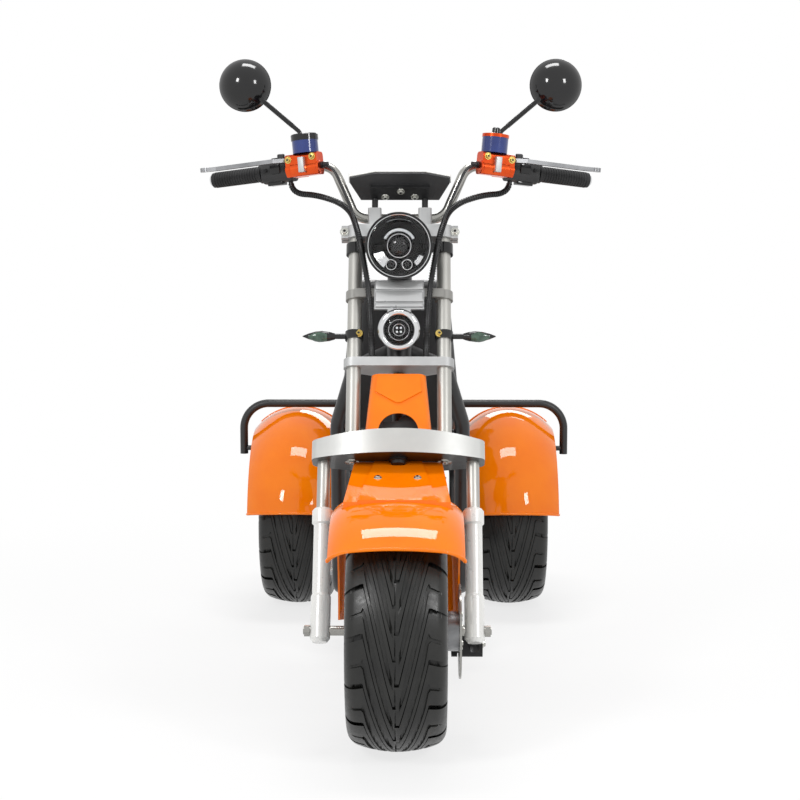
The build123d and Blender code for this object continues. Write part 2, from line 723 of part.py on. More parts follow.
with BuildPart() as dash_bracket:
    with BuildSketch(FORK.offset(CLAMP_TOP)):
        with Locations((-CLAMP_X, BAR_BACK), (CLAMP_X, BAR_BACK)):
            Circle(7)
    extrude(amount=70)
    with BuildSketch(DASH.offset(-DASH_T / 2 - 10)):
        with Locations((0, 12)):
            Rectangle(132, 40)
    extrude(amount=20)
    with BuildSketch(DASH.offset(-DASH_T / 2)):
        Rectangle(400, 400)
    extrude(amount=100, mode=Mode.SUBTRACT)
save(dash_bracket.part, "dash_bracket")

# Headlamp
LAMP = on_fork(0, -94.8, YOKE_S - 59.1)
LAMP_CLAMP_S = YOKE_S - 36.0
lamp_axis = Axis(LAMP, (0, 1, 0))
LENS_T = 4.0
with BuildPart() as headlamp_shell:
    with BuildSketch(Plane(origin=LAMP)):
        with BuildLine():
            Polyline(
                (0, 84), (45, 84), (62, 66), (68, 54), (68, 2), (72, 2), (72, -12), (68, -12),
                (68, SEAT_GAP - LENS_T), (63, SEAT_GAP - LENS_T), (63, 40), (42, 78), (0, 78), close=True,
            )
        make_face()
    revolve(axis=lamp_axis)
    for arm_x in (-77, 66):
        with BuildSketch(across((arm_x, LAMP.Y, LAMP.Z))):
            with Locations((62, -4)):
                Rectangle(64, 22)
        extrude(amount=11)
    with BuildSketch(FORK.offset(LAMP_CLAMP_S)):
        with Locations((-UPPER_X, 0), (UPPER_X, 0)):
            Circle(21)
    extrude(amount=24)
    with BuildSketch(FORK.offset(LAMP_CLAMP_S - 100)):
        with Locations((-UPPER_X, 0), (UPPER_X, 0)):
            Circle(UPPER_TUBE_R + CLAMP_FIT)
    extrude(amount=200, mode=Mode.SUBTRACT)
save(headlamp_shell.part, "headlamp_shell")

LENS_R = 67.7
LENS_POLE = -20.0
mid_r, mid_y = dome_mid(LENS_R, -2 * LENS_T - LENS_POLE)
with BuildPart() as headlamp_lens:
    with BuildSketch(Plane(origin=LAMP)):
        with BuildLine():
            Line((0, LENS_POLE), (0, LENS_POLE + LENS_T))
            ThreePointArc(
                (0, LENS_POLE + LENS_T), (mid_r, LENS_POLE + LENS_T + mid_y), (LENS_R, -LENS_T)
            )
            Line((LENS_R, -LENS_T), (LENS_R, -2 * LENS_T))
            ThreePointArc((LENS_R, -2 * LENS_T), (mid_r, LENS_POLE + mid_y), (0, LENS_POLE))
        make_face()
    revolve(axis=lamp_axis)
save(headlamp_lens.part, "headlamp_lens")

# Panel between the lamps, strapped to the upper tubes
PANEL_BACK = -24.0
with BuildPart() as lamp_panel:
    with BuildSketch(upright(0, PANEL_BACK)):
        with Locations((0, MID_CLAMP_S + 161)):
            Rectangle(108, 68)
        with Locations((0, MID_CLAMP_S + 112)):
            Rectangle(50, 90)
    extrude(amount=6)
    with BuildSketch(FORK.offset(MID_CLAMP_S + 159)):
        with Locations((-UPPER_X, 0), (UPPER_X, 0)):
            Circle(20)
        with Locations((0, -21)):
            Rectangle(2 * UPPER_X, 8)
        with Locations((-UPPER_X, 0), (UPPER_X, 0)):
            Circle(UPPER_TUBE_R + CLAMP_FIT, mode=Mode.SUBTRACT)
    extrude(amount=20)
save(lamp_panel.part, "lamp_panel")

# Lower lamp in front of the panel's tongue
LOWER_LAMP = on_fork(0, -45.1, MID_CLAMP_S + 72)
lower_axis = Axis(LOWER_LAMP, (0, 1, 0))
with BuildPart() as lower_lamp:
    with BuildSketch(Plane(origin=LOWER_LAMP)):
        with BuildLine():
            Polyline(
                (0, 60), (36, 60), (36, 14), (45, 14), (45, 2), (41, -4), (33, -4), (33, 8), (0, 8),
                close=True,
            )
        make_face()
    revolve(axis=lower_axis)
    with BuildSketch(upright(0, PANEL_BACK - 6 - SEAT_GAP)):
        with Locations((0, MID_CLAMP_S + 132)):
            Rectangle(300, 400)
    extrude(amount=-150, mode=Mode.SUBTRACT)
save(lower_lamp.part, "lower_lamp")

mid_r, mid_y = dome_mid(32.7, 8)
with BuildPart() as lower_lamp_lens:
    with BuildSketch(Plane(origin=LOWER_LAMP)):
        with BuildLine():
            Polyline((32.7, 0), (32.7, 4), (0, 4), (0, -8))
            ThreePointArc((0, -8), (mid_r, mid_y - 8), (32.7, 0))
        make_face()
    revolve(axis=lower_axis)
save(lower_lamp_lens.part, "lower_lamp_lens")

# Front turn signals on stalks clamped to the upper tubes
SIGNAL_S = MID_CLAMP_S + 76.0
SIGNAL_L = 42.0
signal = on_fork(0, 0, SIGNAL_S)
with BuildPart() as turn_signals:
    with BuildSketch(FORK.offset(SIGNAL_S - 9)):
        with Locations((UPPER_X, 0)):
            Circle(20)
    extrude(amount=18)
    with BuildSketch(across((UPPER_X, signal.Y, signal.Z))):
        Circle(6)
    extrude(amount=SIGNAL_L)
    with BuildSketch(Plane(origin=(UPPER_X + SIGNAL_L, signal.Y, signal.Z))):
        with BuildLine():
            Polyline(
                (0, 0), (0, 7), (12, 10.4), (26, 12), (42, 10.6), (57, 6.4), (70, 1), (70, 0),
                close=True,
            )
        make_face()
    revolve(axis=Axis((0, signal.Y, signal.Z), (1, 0, 0)))
    with BuildSketch(FORK.offset(SIGNAL_S - 60)):
        with Locations((UPPER_X, 0)):
            Circle(UPPER_TUBE_R + CLAMP_FIT)
    extrude(amount=120, mode=Mode.SUBTRACT)
    mirror(about=Plane.YZ)
save(turn_signals.part, "turn_signals")

# Control cables: a conduit a side from the switch pod, down beside the lamp to the middle clamp,
# with the brake hose that joins it
CONDUIT_R = 5.5
HOSE_R = 3.2
joint_point = LAMP + Vector(82.5, 22.5, 8)
with BuildPart() as control_cables:
    with BuildLine() as conduit_path:
        FilletPolyline(
            on_bar(0, -25 - SEAT_GAP, 192),
            on_bar(0, -52, 192),
            bar_centre + Vector(178, -19, 52),
            bar_centre + Vector(112, -27, 26),
            LAMP + Vector(88, 34, 33),
            LAMP + Vector(77, 11, -17),
            on_fork(66, -36, MID_CLAMP_S + 172),
            on_fork(60, -34, MID_CLAMP_S + 85),
            on_fork(58, -9, MID_CLAMP_S + 58),
            on_fork(58, -9, MID_CLAMP_S + MID_CLAMP_T + SEAT_GAP),
            radius=20,
        )
    with BuildSketch(Plane(origin=conduit_path.line @ 0, z_dir=conduit_path.line % 0)):
        Circle(CONDUIT_R)
    sweep()
    with BuildLine() as hose_path:
        FilletPolyline(
            on_bar(MASTER_FORWARD, 0, MASTER[1] + SEAT_GAP),
            on_bar(MASTER_FORWARD, 0, MASTER[1] + 27),
            bar_centre + Vector(126, -39, 66),
            bar_centre + Vector(100, -75, 10),
            joint_point,
            radius=16,
        )
    with BuildSketch(Plane(origin=hose_path.line @ 0, z_dir=hose_path.line % 0)):
        Circle(HOSE_R)
    sweep(path=hose_path.line)
    mirror(about=Plane.YZ)
save(control_cables.part, "control_cables")

# Frame neck: the head tube and a short backbone to the console
HEAD_R = 27.0
HEAD_S = (MID_CLAMP_S + MID_CLAMP_T + 6, YOKE_S - 6)
backbone = on_fork(0, STEM_SETBACK, MID_CLAMP_S + 132)
CONSOLE_FRONT_Y = backbone.Y + 117.7
with BuildPart() as frame_neck:
    with BuildSketch(FORK.offset(HEAD_S[0])):
        with Locations((0, STEM_SETBACK)):
            Circle(HEAD_R)
    extrude(amount=HEAD_S[1] - HEAD_S[0])
    with BuildSketch(Plane(origin=backbone, x_dir=(1, 0, 0), z_dir=(0, 1, 0))):
        RectangleRounded(44, 70, 12)
    extrude(amount=CONSOLE_FRONT_Y - SEAT_GAP - backbone.Y)
    with BuildSketch(FORK.offset(HEAD_S[0])):
        with Locations((0, STEM_SETBACK)):
            Circle(STEM_R + RUNNING_FIT)
    extrude(amount=HEAD_S[1] - HEAD_S[0], mode=Mode.SUBTRACT)
save(frame_neck.part, "frame_neck")

# Frame rails: one bent tube a side, head tube to floor to tail
RAIL_R = 17.5
FENDER_HALF = 123.0
STAY_REACH = 33.0
RAIL_X = WHEEL_X - FENDER_HALF - STAY_REACH
FLOOR_Z = TYRE_R - 23.0
TAIL_Z = TYRE_R + 174.0
TAIL_END_Y = REAR_AXLE_Y + 271.0
rail_root = on_fork(0, STEM_SETBACK, HEAD_S[0] + 30)
with BuildPart() as frame_rails:
    with BuildLine() as rail_path:
        FilletPolyline(
            (14, rail_root.Y + 14, rail_root.Z),
            (RAIL_X - 41, rail_root.Y + 56, rail_root.Z - 41.5),
            (RAIL_X, rail_root.Y + 124, rail_root.Z - 173.5),
            (RAIL_X, rail_root.Y + 181, FLOOR_Z),
            (RAIL_X, REAR_AXLE_Y - 394, FLOOR_Z),
            (RAIL_X, REAR_AXLE_Y - 279, TAIL_Z),
            (RAIL_X, TAIL_END_Y, TAIL_Z),
            radius=50,
        )
    with BuildSketch(Plane(origin=rail_path.line @ 0, z_dir=rail_path.line % 0)):
        Circle(RAIL_R)
    sweep()
    with BuildSketch(FORK.offset(HEAD_S[0] - 60)):
        with Locations((0, STEM_SETBACK)):
            Circle(HEAD_R + SEAT_GAP)
    extrude(amount=200, mode=Mode.SUBTRACT)
    mirror(about=Plane.YZ)
save(frame_rails.part, "frame_rails")

# Cross tubes between the rails: name of what each carries, y, z, radius
PIVOT_Y, PIVOT_Z = REAR_AXLE_Y - 347, TYRE_R + 59
SHOCK_Y = REAR_AXLE_Y - 119
TAIL_TUBE_Y = REAR_AXLE_Y + 231
BOARD_FRONT_Y = rail_root.Y + 251
BOARD_L = REAR_AXLE_Y - 444 - BOARD_FRONT_Y
BOARD_MID_Y = BOARD_FRONT_Y + BOARD_L / 2
BATTERY_L = 0.767 * BOARD_L
FLOOR_TUBE_Y = BATTERY_L / 2 + 20
CROSS_TUBES = [
    ("console", rail_root.Y + 128, rail_root.Z - 198.5, 12.0),
    ("battery", BOARD_MID_Y - FLOOR_TUBE_Y, FLOOR_Z, 10.0),
    ("floor", BOARD_MID_Y + FLOOR_TUBE_Y, FLOOR_Z, 10.0),
    ("swingarm", PIVOT_Y, PIVOT_Z, 12.0),
    ("shocks", SHOCK_Y, TAIL_Z, 12.0),
    ("tail", TAIL_TUBE_Y, TAIL_Z, 12.0),
]
with BuildPart() as frame_crossmembers:
    for carries, y, z, r in CROSS_TUBES:
        with BuildSketch(across((0, y, z))):
            Circle(r)
        extrude(amount=RAIL_X - RAIL_R - SEAT_GAP, both=True)
save(frame_crossmembers.part, "frame_crossmembers")

# Console behind the head tube, wider towards its foot
CONSOLE_BACK_Y = CONSOLE_FRONT_Y + 195
CONSOLE_SECTIONS = [(-253.8, 244.0), (-151.8, 262.0), (-16.8, 236.0), (80.2, 216.0)]
with BuildPart() as console:
    for z, w in CONSOLE_SECTIONS:
        with BuildSketch(Plane.XY.offset(backbone.Z + z)):
            with Locations((0, (CONSOLE_FRONT_Y + CONSOLE_BACK_Y) / 2)):
                RectangleRounded(w, CONSOLE_BACK_Y - CONSOLE_FRONT_Y, 40)
    loft(ruled=True)
    fillet(console.faces().sort_by(Axis.Z)[-1].edges(), 22)
save(console.part, "console")

# Battery box under the floor, footboard over it
BOARD_Z = FLOOR_Z + RAIL_R + SEAT_GAP
BATTERY_Z = FLOOR_Z - 107.0
with BuildPart() as battery_box:
    with BuildSketch(Plane.XY.offset(BATTERY_Z)):
        with Locations((0, BOARD_MID_Y)):
            RectangleRounded(2 * (RAIL_X - RAIL_R) - 11, BATTERY_L, 12)
    extrude(amount=BOARD_Z - BATTERY_Z - SEAT_GAP)
save(battery_box.part, "battery_box")

with BuildPart() as footboard:
    with BuildSketch(Plane.XY.offset(BOARD_Z)):
        with Locations((0, BOARD_MID_Y)):
            RectangleRounded(2 * (RAIL_X + 51), BOARD_L, 30)
    extrude(amount=9)
save(footboard.part, "footboard")

# Seat box on the rails, cushions and backrest
BOX_Z = TAIL_Z + RAIL_R + SEAT_GAP
BOX_HALF = RAIL_X - 3
SEAT_Z = TAIL_Z + 198.0
SEAT_MID_Y = REAR_AXLE_Y - 279.0
PILLION_MID_Y = REAR_AXLE_Y - 49.0
BACK_Y = REAR_AXLE_Y + 59.0
with BuildPart() as seat_box:
    with BuildSketch(Plane.XY.offset(BOX_Z)):
        with Locations((0, REAR_AXLE_Y - 124)):
            RectangleRounded(2 * BOX_HALF, 350, 40)
    extrude(amount=SEAT_Z - BOX_Z)
save(seat_box.part, "seat_box")

with BuildPart() as seat_cushion:
    with BuildSketch(Plane.XY.offset(SEAT_Z + SEAT_GAP)):
        with Locations((0, SEAT_MID_Y)):
            RectangleRounded(290, 270, 60)
    extrude(amount=80)
    fillet(seat_cushion.faces().sort_by(Axis.Z)[-1].edges(), 24)
save(seat_cushion.part, "seat_cushion")

with BuildPart() as pillion_cushion:
    with BuildSketch(Plane.XY.offset(SEAT_Z + SEAT_GAP)):
        with Locations((0, PILLION_MID_Y)):
            RectangleRounded(270, 184, 50)
    extrude(amount=110)
    fillet(pillion_cushion.faces().sort_by(Axis.Z)[-1].edges(), 24)
save(pillion_cushion.part, "pillion_cushion")

BACKREST = Plane(origin=(0, BACK_Y, SEAT_Z + 210), x_dir=(1, 0, 0), z_dir=Vector(0, -1, 0.12).normalized())
with BuildPart() as backrest:
    with BuildSketch(BACKREST):
        RectangleRounded(250, 180, 50)
    extrude(amount=48)
    fillet(backrest.faces().sort_by(Axis.Y)[0].edges(), 20)
save(backrest.part, "backrest")

with BuildPart() as backrest_frame:
    with BuildLine() as back_path:
        FilletPolyline(
            (-80, BACK_Y + 18, BOX_Z + 6 + SEAT_GAP),
            (-80, BACK_Y + 18, SEAT_Z + 230),
            (80, BACK_Y + 18, SEAT_Z + 230),
            (80, BACK_Y + 18, BOX_Z + 6 + SEAT_GAP),
            radius=40,
        )
    with BuildSketch(Plane(origin=back_path.line @ 0, z_dir=back_path.line % 0)):
        Circle(9)
    sweep()
    with BuildSketch(BACKREST.offset(SEAT_GAP - 20)):
        Rectangle(120, 60)
    extrude(amount=20 - 2 * SEAT_GAP)
save(backrest_frame.part, "backrest_frame")

# Rear deck with four holes for a carrier
DECK_HOLE_X, DECK_HOLE_Y = RAIL_X - 66, 50.0
DECK_HOLE_MID_Y = REAR_AXLE_Y + 151
DECK_MID_Y = REAR_AXLE_Y + 176
with BuildPart() as rear_deck:
    with BuildSketch(Plane.XY.offset(BOX_Z)):
        with Locations((0, DECK_MID_Y)):
            RectangleRounded(2 * (RAIL_X + 14), 240, 16)
        with Locations((0, DECK_HOLE_MID_Y)):
            with GridLocations(2 * DECK_HOLE_X, 2 * DECK_HOLE_Y, 2, 2):
                Circle(4.25, mode=Mode.SUBTRACT)
    extrude(amount=6)
save(rear_deck.part, "rear_deck")

# Tail lamp under the deck's end
with BuildPart() as tail_lamp:
    with BuildSketch(Plane.XY.offset(BOX_Z - SEAT_GAP)):
        with Locations((0, TAIL_END_Y - 2)):
            RectangleRounded(2 * (RAIL_X - RAIL_R) - 97, 44, 12)
    extrude(amount=-42)
    with BuildSketch(across((0, TAIL_TUBE_Y, TAIL_Z))):
        Circle(12 + SEAT_GAP)
    extrude(amount=200, both=True, mode=Mode.SUBTRACT)
save(tail_lamp.part, "tail_lamp")

# Rear axle: the drive unit, its tubes, brake plates and stub ends
ARM_X = RAIL_X - 46
DRIVE_HALF = ARM_X - 33
TUBE_END = WHEEL_X - DRUM_IN - 0.5
with BuildPart() as rear_axle:
    with BuildSketch(across((-DRIVE_HALF, REAR_AXLE_Y, TYRE_R))):
        Circle(92)
    extrude(amount=2 * DRIVE_HALF)
    chamfer(rear_axle.edges().filter_by(GeomType.CIRCLE), DRIVE_HALF / 4)
    for r, x0, x1 in [
        (28.0, 0.0, TUBE_END),
        (DRUM_R + 4, TUBE_END - 8, TUBE_END),
        (STUB_R, TUBE_END, WHEEL_X + REAR_HUB[1] + 22),
    ]:
        for side in (1, -1):
            with BuildSketch(across((side * x0, REAR_AXLE_Y, TYRE_R))):
                Circle(r)
            extrude(amount=side * (x1 - x0))
    for side in (1, -1):
        with BuildSketch(across((side * (WHEEL_X + REAR_HUB[1] + 0.5), REAR_AXLE_Y, TYRE_R))):
            RegularPolygon(20, 6)
        extrude(amount=side * 16)
save(rear_axle.part, "rear_axle")

# Swingarm from the pivot tube to the axle
PAD_Z = TYRE_R + 58
arm_mid = Vector(ARM_X, (PIVOT_Y + REAR_AXLE_Y) / 2, (PIVOT_Z + TYRE_R) / 2)
with BuildPart() as swingarm:
    with BuildSketch(across((ARM_X - 15, PIVOT_Y, PIVOT_Z))):
        Circle(26)
    extrude(amount=30)
    with BuildSketch(across((ARM_X - 15, REAR_AXLE_Y, TYRE_R))):
        Circle(44)
    extrude(amount=30)
    with BuildSketch(across((ARM_X - 15, 0, 0))):
        with BuildLine():
            Polyline(
                (PIVOT_Y, PIVOT_Z - 22),
                (PIVOT_Y, PIVOT_Z + 22),
                (REAR_AXLE_Y, TYRE_R + 22),
                (REAR_AXLE_Y, TYRE_R - 22),
                close=True,
            )
        make_face()
        with Locations((SHOCK_Y, PAD_Z - 25)):
            Rectangle(46, 50)
    extrude(amount=30)
    mirror(about=Plane.YZ)
    with BuildSketch(across((0, PIVOT_Y + 108, PIVOT_Z - 20))):
        Circle(14)
    extrude(amount=ARM_X, both=True)
    with BuildSketch(across((0, PIVOT_Y, PIVOT_Z))):
        Circle(12 + CLAMP_FIT)
    extrude(amount=200, both=True, mode=Mode.SUBTRACT)
    with BuildSketch(across((0, REAR_AXLE_Y, TYRE_R))):
        Circle(28 + CLAMP_FIT)
    extrude(amount=200, both=True, mode=Mode.SUBTRACT)
save(swingarm.part, "swingarm")

# Rear shocks: foot on the arm, ribbed spring sleeve, eye round the cross tube
with BuildPart() as rear_shocks:
    with BuildSketch(Plane(origin=(ARM_X, SHOCK_Y, 0), x_dir=(1, 0, 0), z_dir=(0, -1, 0))):
        with BuildLine():
            Polyline(
                (0, PAD_Z + SEAT_GAP), (18, PAD_Z + SEAT_GAP), (18, PAD_Z + 8), (24, PAD_Z + 8),
                *[(24 - 4 * (i % 2), PAD_Z + 13 + 6 * i) for i in range(11)],
                (24, PAD_Z + 78), (14, PAD_Z + 78), (14, TAIL_Z), (0, TAIL_Z), close=True,
            )
        make_face()
    revolve(axis=Axis((ARM_X, SHOCK_Y, 0), (0, 0, 1)))
    with BuildSketch(across((ARM_X - 13, SHOCK_Y, TAIL_Z))):
        Circle(17)
    extrude(amount=26)
    with BuildSketch(across((ARM_X - 40, SHOCK_Y, TAIL_Z))):
        Circle(12 + CLAMP_FIT)
    extrude(amount=80, mode=Mode.SUBTRACT)
    mirror(about=Plane.YZ)
save(rear_shocks.part, "rear_shocks")

# Rear fenders: turned arches over the rear tyres
FENDER_FRONT = 12.0
FENDER_ARC = 174.0
FENDER_SIDE_R = FENDER_R - 88
FENDER_EDGE_R = FENDER_R - 58
for name, side in (("rear_fender_left", 1), ("rear_fender_right", -1)):
    with BuildPart() as fender:
        with BuildSketch(radial(side * WHEEL_X, REAR_AXLE_Y, FENDER_FRONT)):
            with BuildLine():
                ThreePointArc((-FENDER_HALF, FENDER_EDGE_R), (0, FENDER_R), (FENDER_HALF, FENDER_EDGE_R))
                Polyline(
                    (FENDER_HALF, FENDER_EDGE_R), (FENDER_HALF, FENDER_SIDE_R),
                    (FENDER_HALF - 4, FENDER_SIDE_R), (FENDER_HALF - 4, FENDER_EDGE_R - 2),
                )
                ThreePointArc((FENDER_HALF - 4, FENDER_EDGE_R - 2), (0, FENDER_R - 4), (4 - FENDER_HALF, FENDER_EDGE_R - 2))
                Polyline(
                    (4 - FENDER_HALF, FENDER_EDGE_R - 2), (4 - FENDER_HALF, FENDER_SIDE_R),
                    (-FENDER_HALF, FENDER_SIDE_R), (-FENDER_HALF, FENDER_EDGE_R),
                )
            make_face()
        revolve(axis=axle_line(side * WHEEL_X, REAR_AXLE_Y, -1), revolution_arc=FENDER_ARC)
    save(fender.part, name)

# Brackets from the rails to the fenders' inner sides
fender_in = WHEEL_X - FENDER_HALF
with BuildPart() as fender_stays:
    with BuildSketch(across((RAIL_X + RAIL_R + SEAT_GAP, REAR_AXLE_Y, TAIL_Z))):
        Rectangle(140, 18)
    extrude(amount=fender_in - RAIL_X - RAIL_R - 2 * SEAT_GAP)
    with BuildSketch(across((fender_in - SEAT_GAP - 6, REAR_AXLE_Y, TAIL_Z))):
        with Locations((0, 34)):
            Rectangle(140, 86)
    extrude(amount=6)
    mirror(about=Plane.YZ)
save(fender_stays.part, "fender_stays")

# Guard rails from the seat box over the fenders
GUARD_Y = REAR_AXLE_Y - 49
GUARD_Z = TYRE_R + FENDER_R + 16
GUARD_X = WHEEL_X + 152
GUARD_TUBE_R = 11.0
GUARD_END_Z = GUARD_Z - 142
with BuildPart() as guard_rails:
    with BuildLine() as guard_path:
        FilletPolyline(
            (BOX_HALF + SEAT_GAP, GUARD_Y, GUARD_Z),
            (GUARD_X, GUARD_Y, GUARD_Z),
            (GUARD_X, GUARD_Y, GUARD_END_Z),
            radius=70,
        )
    with BuildSketch(Plane(origin=guard_path.line @ 0, z_dir=guard_path.line % 0)):
        Circle(GUARD_TUBE_R)
    sweep()
    with BuildSketch(across((GUARD_X, GUARD_Y, GUARD_END_Z + 16))):
        Circle(7)
    extrude(amount=WHEEL_X + FENDER_HALF + SEAT_GAP - GUARD_X)
    mirror(about=Plane.YZ)
save(guard_rails.part, "guard_rails")
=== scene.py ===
import math

import bmesh
import bpy
from mathutils import Matrix, Vector
from mathutils.bvhtree import BVHTree


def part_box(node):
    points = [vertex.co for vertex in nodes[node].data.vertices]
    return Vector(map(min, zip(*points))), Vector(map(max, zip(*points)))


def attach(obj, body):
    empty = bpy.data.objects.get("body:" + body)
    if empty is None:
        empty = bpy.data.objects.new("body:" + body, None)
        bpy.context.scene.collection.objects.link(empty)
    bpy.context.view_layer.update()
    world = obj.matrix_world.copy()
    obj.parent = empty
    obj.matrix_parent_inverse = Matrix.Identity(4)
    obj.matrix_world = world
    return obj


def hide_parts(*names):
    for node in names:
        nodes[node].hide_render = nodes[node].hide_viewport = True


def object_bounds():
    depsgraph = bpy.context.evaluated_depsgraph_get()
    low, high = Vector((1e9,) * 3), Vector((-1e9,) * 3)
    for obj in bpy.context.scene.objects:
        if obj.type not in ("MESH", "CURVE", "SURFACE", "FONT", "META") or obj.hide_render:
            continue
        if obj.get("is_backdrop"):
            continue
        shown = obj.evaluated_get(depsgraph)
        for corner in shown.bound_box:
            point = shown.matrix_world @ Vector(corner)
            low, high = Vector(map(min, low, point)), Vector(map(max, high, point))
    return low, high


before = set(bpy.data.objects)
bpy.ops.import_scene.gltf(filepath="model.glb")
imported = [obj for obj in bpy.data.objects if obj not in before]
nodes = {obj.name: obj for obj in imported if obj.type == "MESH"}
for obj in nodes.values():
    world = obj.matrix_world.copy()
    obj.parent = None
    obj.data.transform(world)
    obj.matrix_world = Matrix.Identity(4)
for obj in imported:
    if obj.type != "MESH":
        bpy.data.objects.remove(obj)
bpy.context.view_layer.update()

# The studio: a wide pale floor under a white surround. Both show white to the camera, to metal and to
# glass, and the floor near the tricycle still takes its soft shadow.
scene = bpy.context.scene
scene.view_settings.view_transform = "Standard"
FLOOR_HALF = 60
SURROUND_LIGHT = 0.5
SHADOW_NEAR, SHADOW_FAR, GLOW_NEAR = 0.6, 2.4, 0.76


def add(tree, kind, options=None, **feeds):
    """A new node with its options set; each feed is a value or another node's output, in_0 the first input."""
    made = tree.nodes.new(kind)
    for option, choice in (options or {}).items():
        setattr(made, option, choice)
    for label, feed in feeds.items():
        socket = made.inputs[int(label[3:]) if label.startswith("in_") else label.replace("_", " ")]
        if isinstance(feed, bpy.types.NodeSocket):
            tree.links.new(feed, socket)
        else:
            socket.default_value = feed
    return made


def seen_directly(tree):
    """A mask that is 1 for camera, glossy and transmission rays."""
    path = add(tree, "ShaderNodeLightPath").outputs
    either = add(tree, "ShaderNodeMath", {"operation": "MAXIMUM"},
                 in_0=path["Is Camera Ray"], in_1=path["Is Glossy Ray"])
    return add(tree, "ShaderNodeMath", {"operation": "MAXIMUM"},
               in_0=either.outputs[0], in_1=path["Is Transmission Ray"]).outputs[0]


world = bpy.data.worlds.new("white_studio")
world.use_nodes = True
scene.world = world
sky = world.node_tree
surround = sky.nodes["Background"]
surround.inputs["Color"].default_value = (1, 1, 1, 1)
level = add(sky, "ShaderNodeMapRange", Value=seen_directly(sky), To_Min=SURROUND_LIGHT, To_Max=1.0)
sky.links.new(level.outputs["Result"], surround.inputs["Strength"])

floor_mesh = bpy.data.meshes.new("studio_floor")
floor_mesh.from_pydata([(FLOOR_HALF * x, FLOOR_HALF * y, 0) for x, y in ((-1, -1), (1, -1), (1, 1), (-1, 1))],
                       [], [(0, 1, 2, 3)])
floor = bpy.data.objects.new("studio_floor", floor_mesh)
scene.collection.objects.link(floor)
paper = bpy.data.materials.new("studio_paper")
paper.use_nodes = True
roll = paper.node_tree
card = roll.nodes["Principled BSDF"]
card.inputs["Base Color"].default_value = (0.94, 0.94, 0.94, 1)
card.inputs["Roughness"].default_value = 0.9
card.inputs["Specular IOR Level"].default_value = 0.0
from_middle = add(roll, "ShaderNodeVectorMath", {"operation": "LENGTH"},
                  in_0=add(roll, "ShaderNodeTexCoord").outputs["Object"])
fade = add(roll, "ShaderNodeMapRange", {"interpolation_type": "SMOOTHSTEP"}, Value=from_middle.outputs["Value"],
           From_Min=SHADOW_NEAR, From_Max=SHADOW_FAR, To_Min=GLOW_NEAR, To_Max=1.0)
share = add(roll, "ShaderNodeMath", {"operation": "MULTIPLY"}, in_0=seen_directly(roll), in_1=fade.outputs["Result"])
lit_paper = add(roll, "ShaderNodeMixShader", in_0=share.outputs[0], in_1=card.outputs[0],
                in_2=add(roll, "ShaderNodeEmission").outputs[0])
roll.links.new(lit_paper.outputs[0], roll.nodes["Material Output"].inputs["Surface"])
floor_mesh.materials.append(paper)
floor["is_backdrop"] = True

# The camera and the softboxes: a long lens a little above the lamp, square to the front wheel, with a
# box light each side in front, one overhead and one behind to lift the edges of the fenders.
lens = bpy.data.cameras.new("photo_camera")
lens.sensor_width = 36
lens.lens = 69.08
camera = bpy.data.objects.new("photo_camera", lens)
camera.location = (0.043, -3.728, 1.004)
camera.rotation_euler = (math.radians(84.4), 0.0, math.radians(0.71))
scene.collection.objects.link(camera)
scene.camera = camera

for label, place, aim, width, height, power in (
    ("left_softbox", (-1.9, -2.9, 2.5), (0, -0.1, 0.5), 0.5, 0.8, 38),
    ("right_softbox", (2.1, -2.7, 2.2), (0, -0.1, 0.5), 0.5, 0.8, 30),
    ("top_softbox", (0, -0.1, 3.6), (0, 0, 0.4), 1.45, 0.62, 40),
    ("rear_softbox", (0.4, 3.4, 2.4), (0, 0.4, 0.6), 1.8, 1.3, 34),
):
    lamp = bpy.data.lights.new(label, "AREA")
    lamp.shape = "RECTANGLE"
    lamp.size, lamp.size_y, lamp.energy = width, height, power
    box_light = bpy.data.objects.new(label, lamp)
    box_light.location = place
    box_light.rotation_euler = (Vector(aim) - Vector(place)).to_track_quat("-Z", "Y").to_euler()
    scene.collection.objects.link(box_light)

# The frame: welded steel tube, the head tube, the twin rails, the cross tubes and every bracket bolted
# to them, all in one satin black powder coat with a fine orange-peel texture, rubbed at its edges.


def srgb(colour):
    """A colour given as 0 to 255, as the shader's own linear value."""
    return [((c / 255 + 0.055) / 1.055) ** 2.4 if c > 10 else c / 3294.6 for c in colour] + [1.0]


def shader_group(name, outlet, **inlets):
    """An empty shader group with named sockets: the group, what it is asked and where it answers."""
    group = bpy.data.node_groups.new(name, "ShaderNodeTree")
    for label, value in inlets.items():
        group.interface.new_socket(label, in_out="INPUT", socket_type="NodeSocketFloat").default_value = value
    group.interface.new_socket(outlet, in_out="OUTPUT", socket_type="NodeSocketFloat")
    return group, group.nodes.new("NodeGroupInput").outputs, group.nodes.new("NodeGroupOutput").inputs[outlet]


mottle, asked, answer = shader_group("mottle", "Value", Scale=20, Low=0, High=1)
cloud = add(mottle, "ShaderNodeTexNoise", Vector=add(mottle, "ShaderNodeTexCoord").outputs["Object"],
            Scale=asked["Scale"], Detail=5)
spread = add(mottle, "ShaderNodeMapRange", Value=cloud.outputs["Fac"], From_Min=0.3, From_Max=0.7,
             To_Min=asked["Low"], To_Max=asked["High"])
mottle.links.new(spread.outputs["Result"], answer)

grain, asked, answer = shader_group("grain", "Height", Scale=600, Pits=0.3)
spot = add(grain, "ShaderNodeTexCoord").outputs["Object"]
peel = add(grain, "ShaderNodeTexNoise", Vector=spot, Scale=asked["Scale"], Detail=2)
pits = add(grain, "ShaderNodeTexVoronoi", Vector=spot, Scale=asked["Scale"])
join = add(grain, "ShaderNodeMix", Factor=asked["Pits"], A=peel.outputs["Fac"], B=pits.outputs["Distance"])
grain.links.new(join.outputs["Result"], answer)
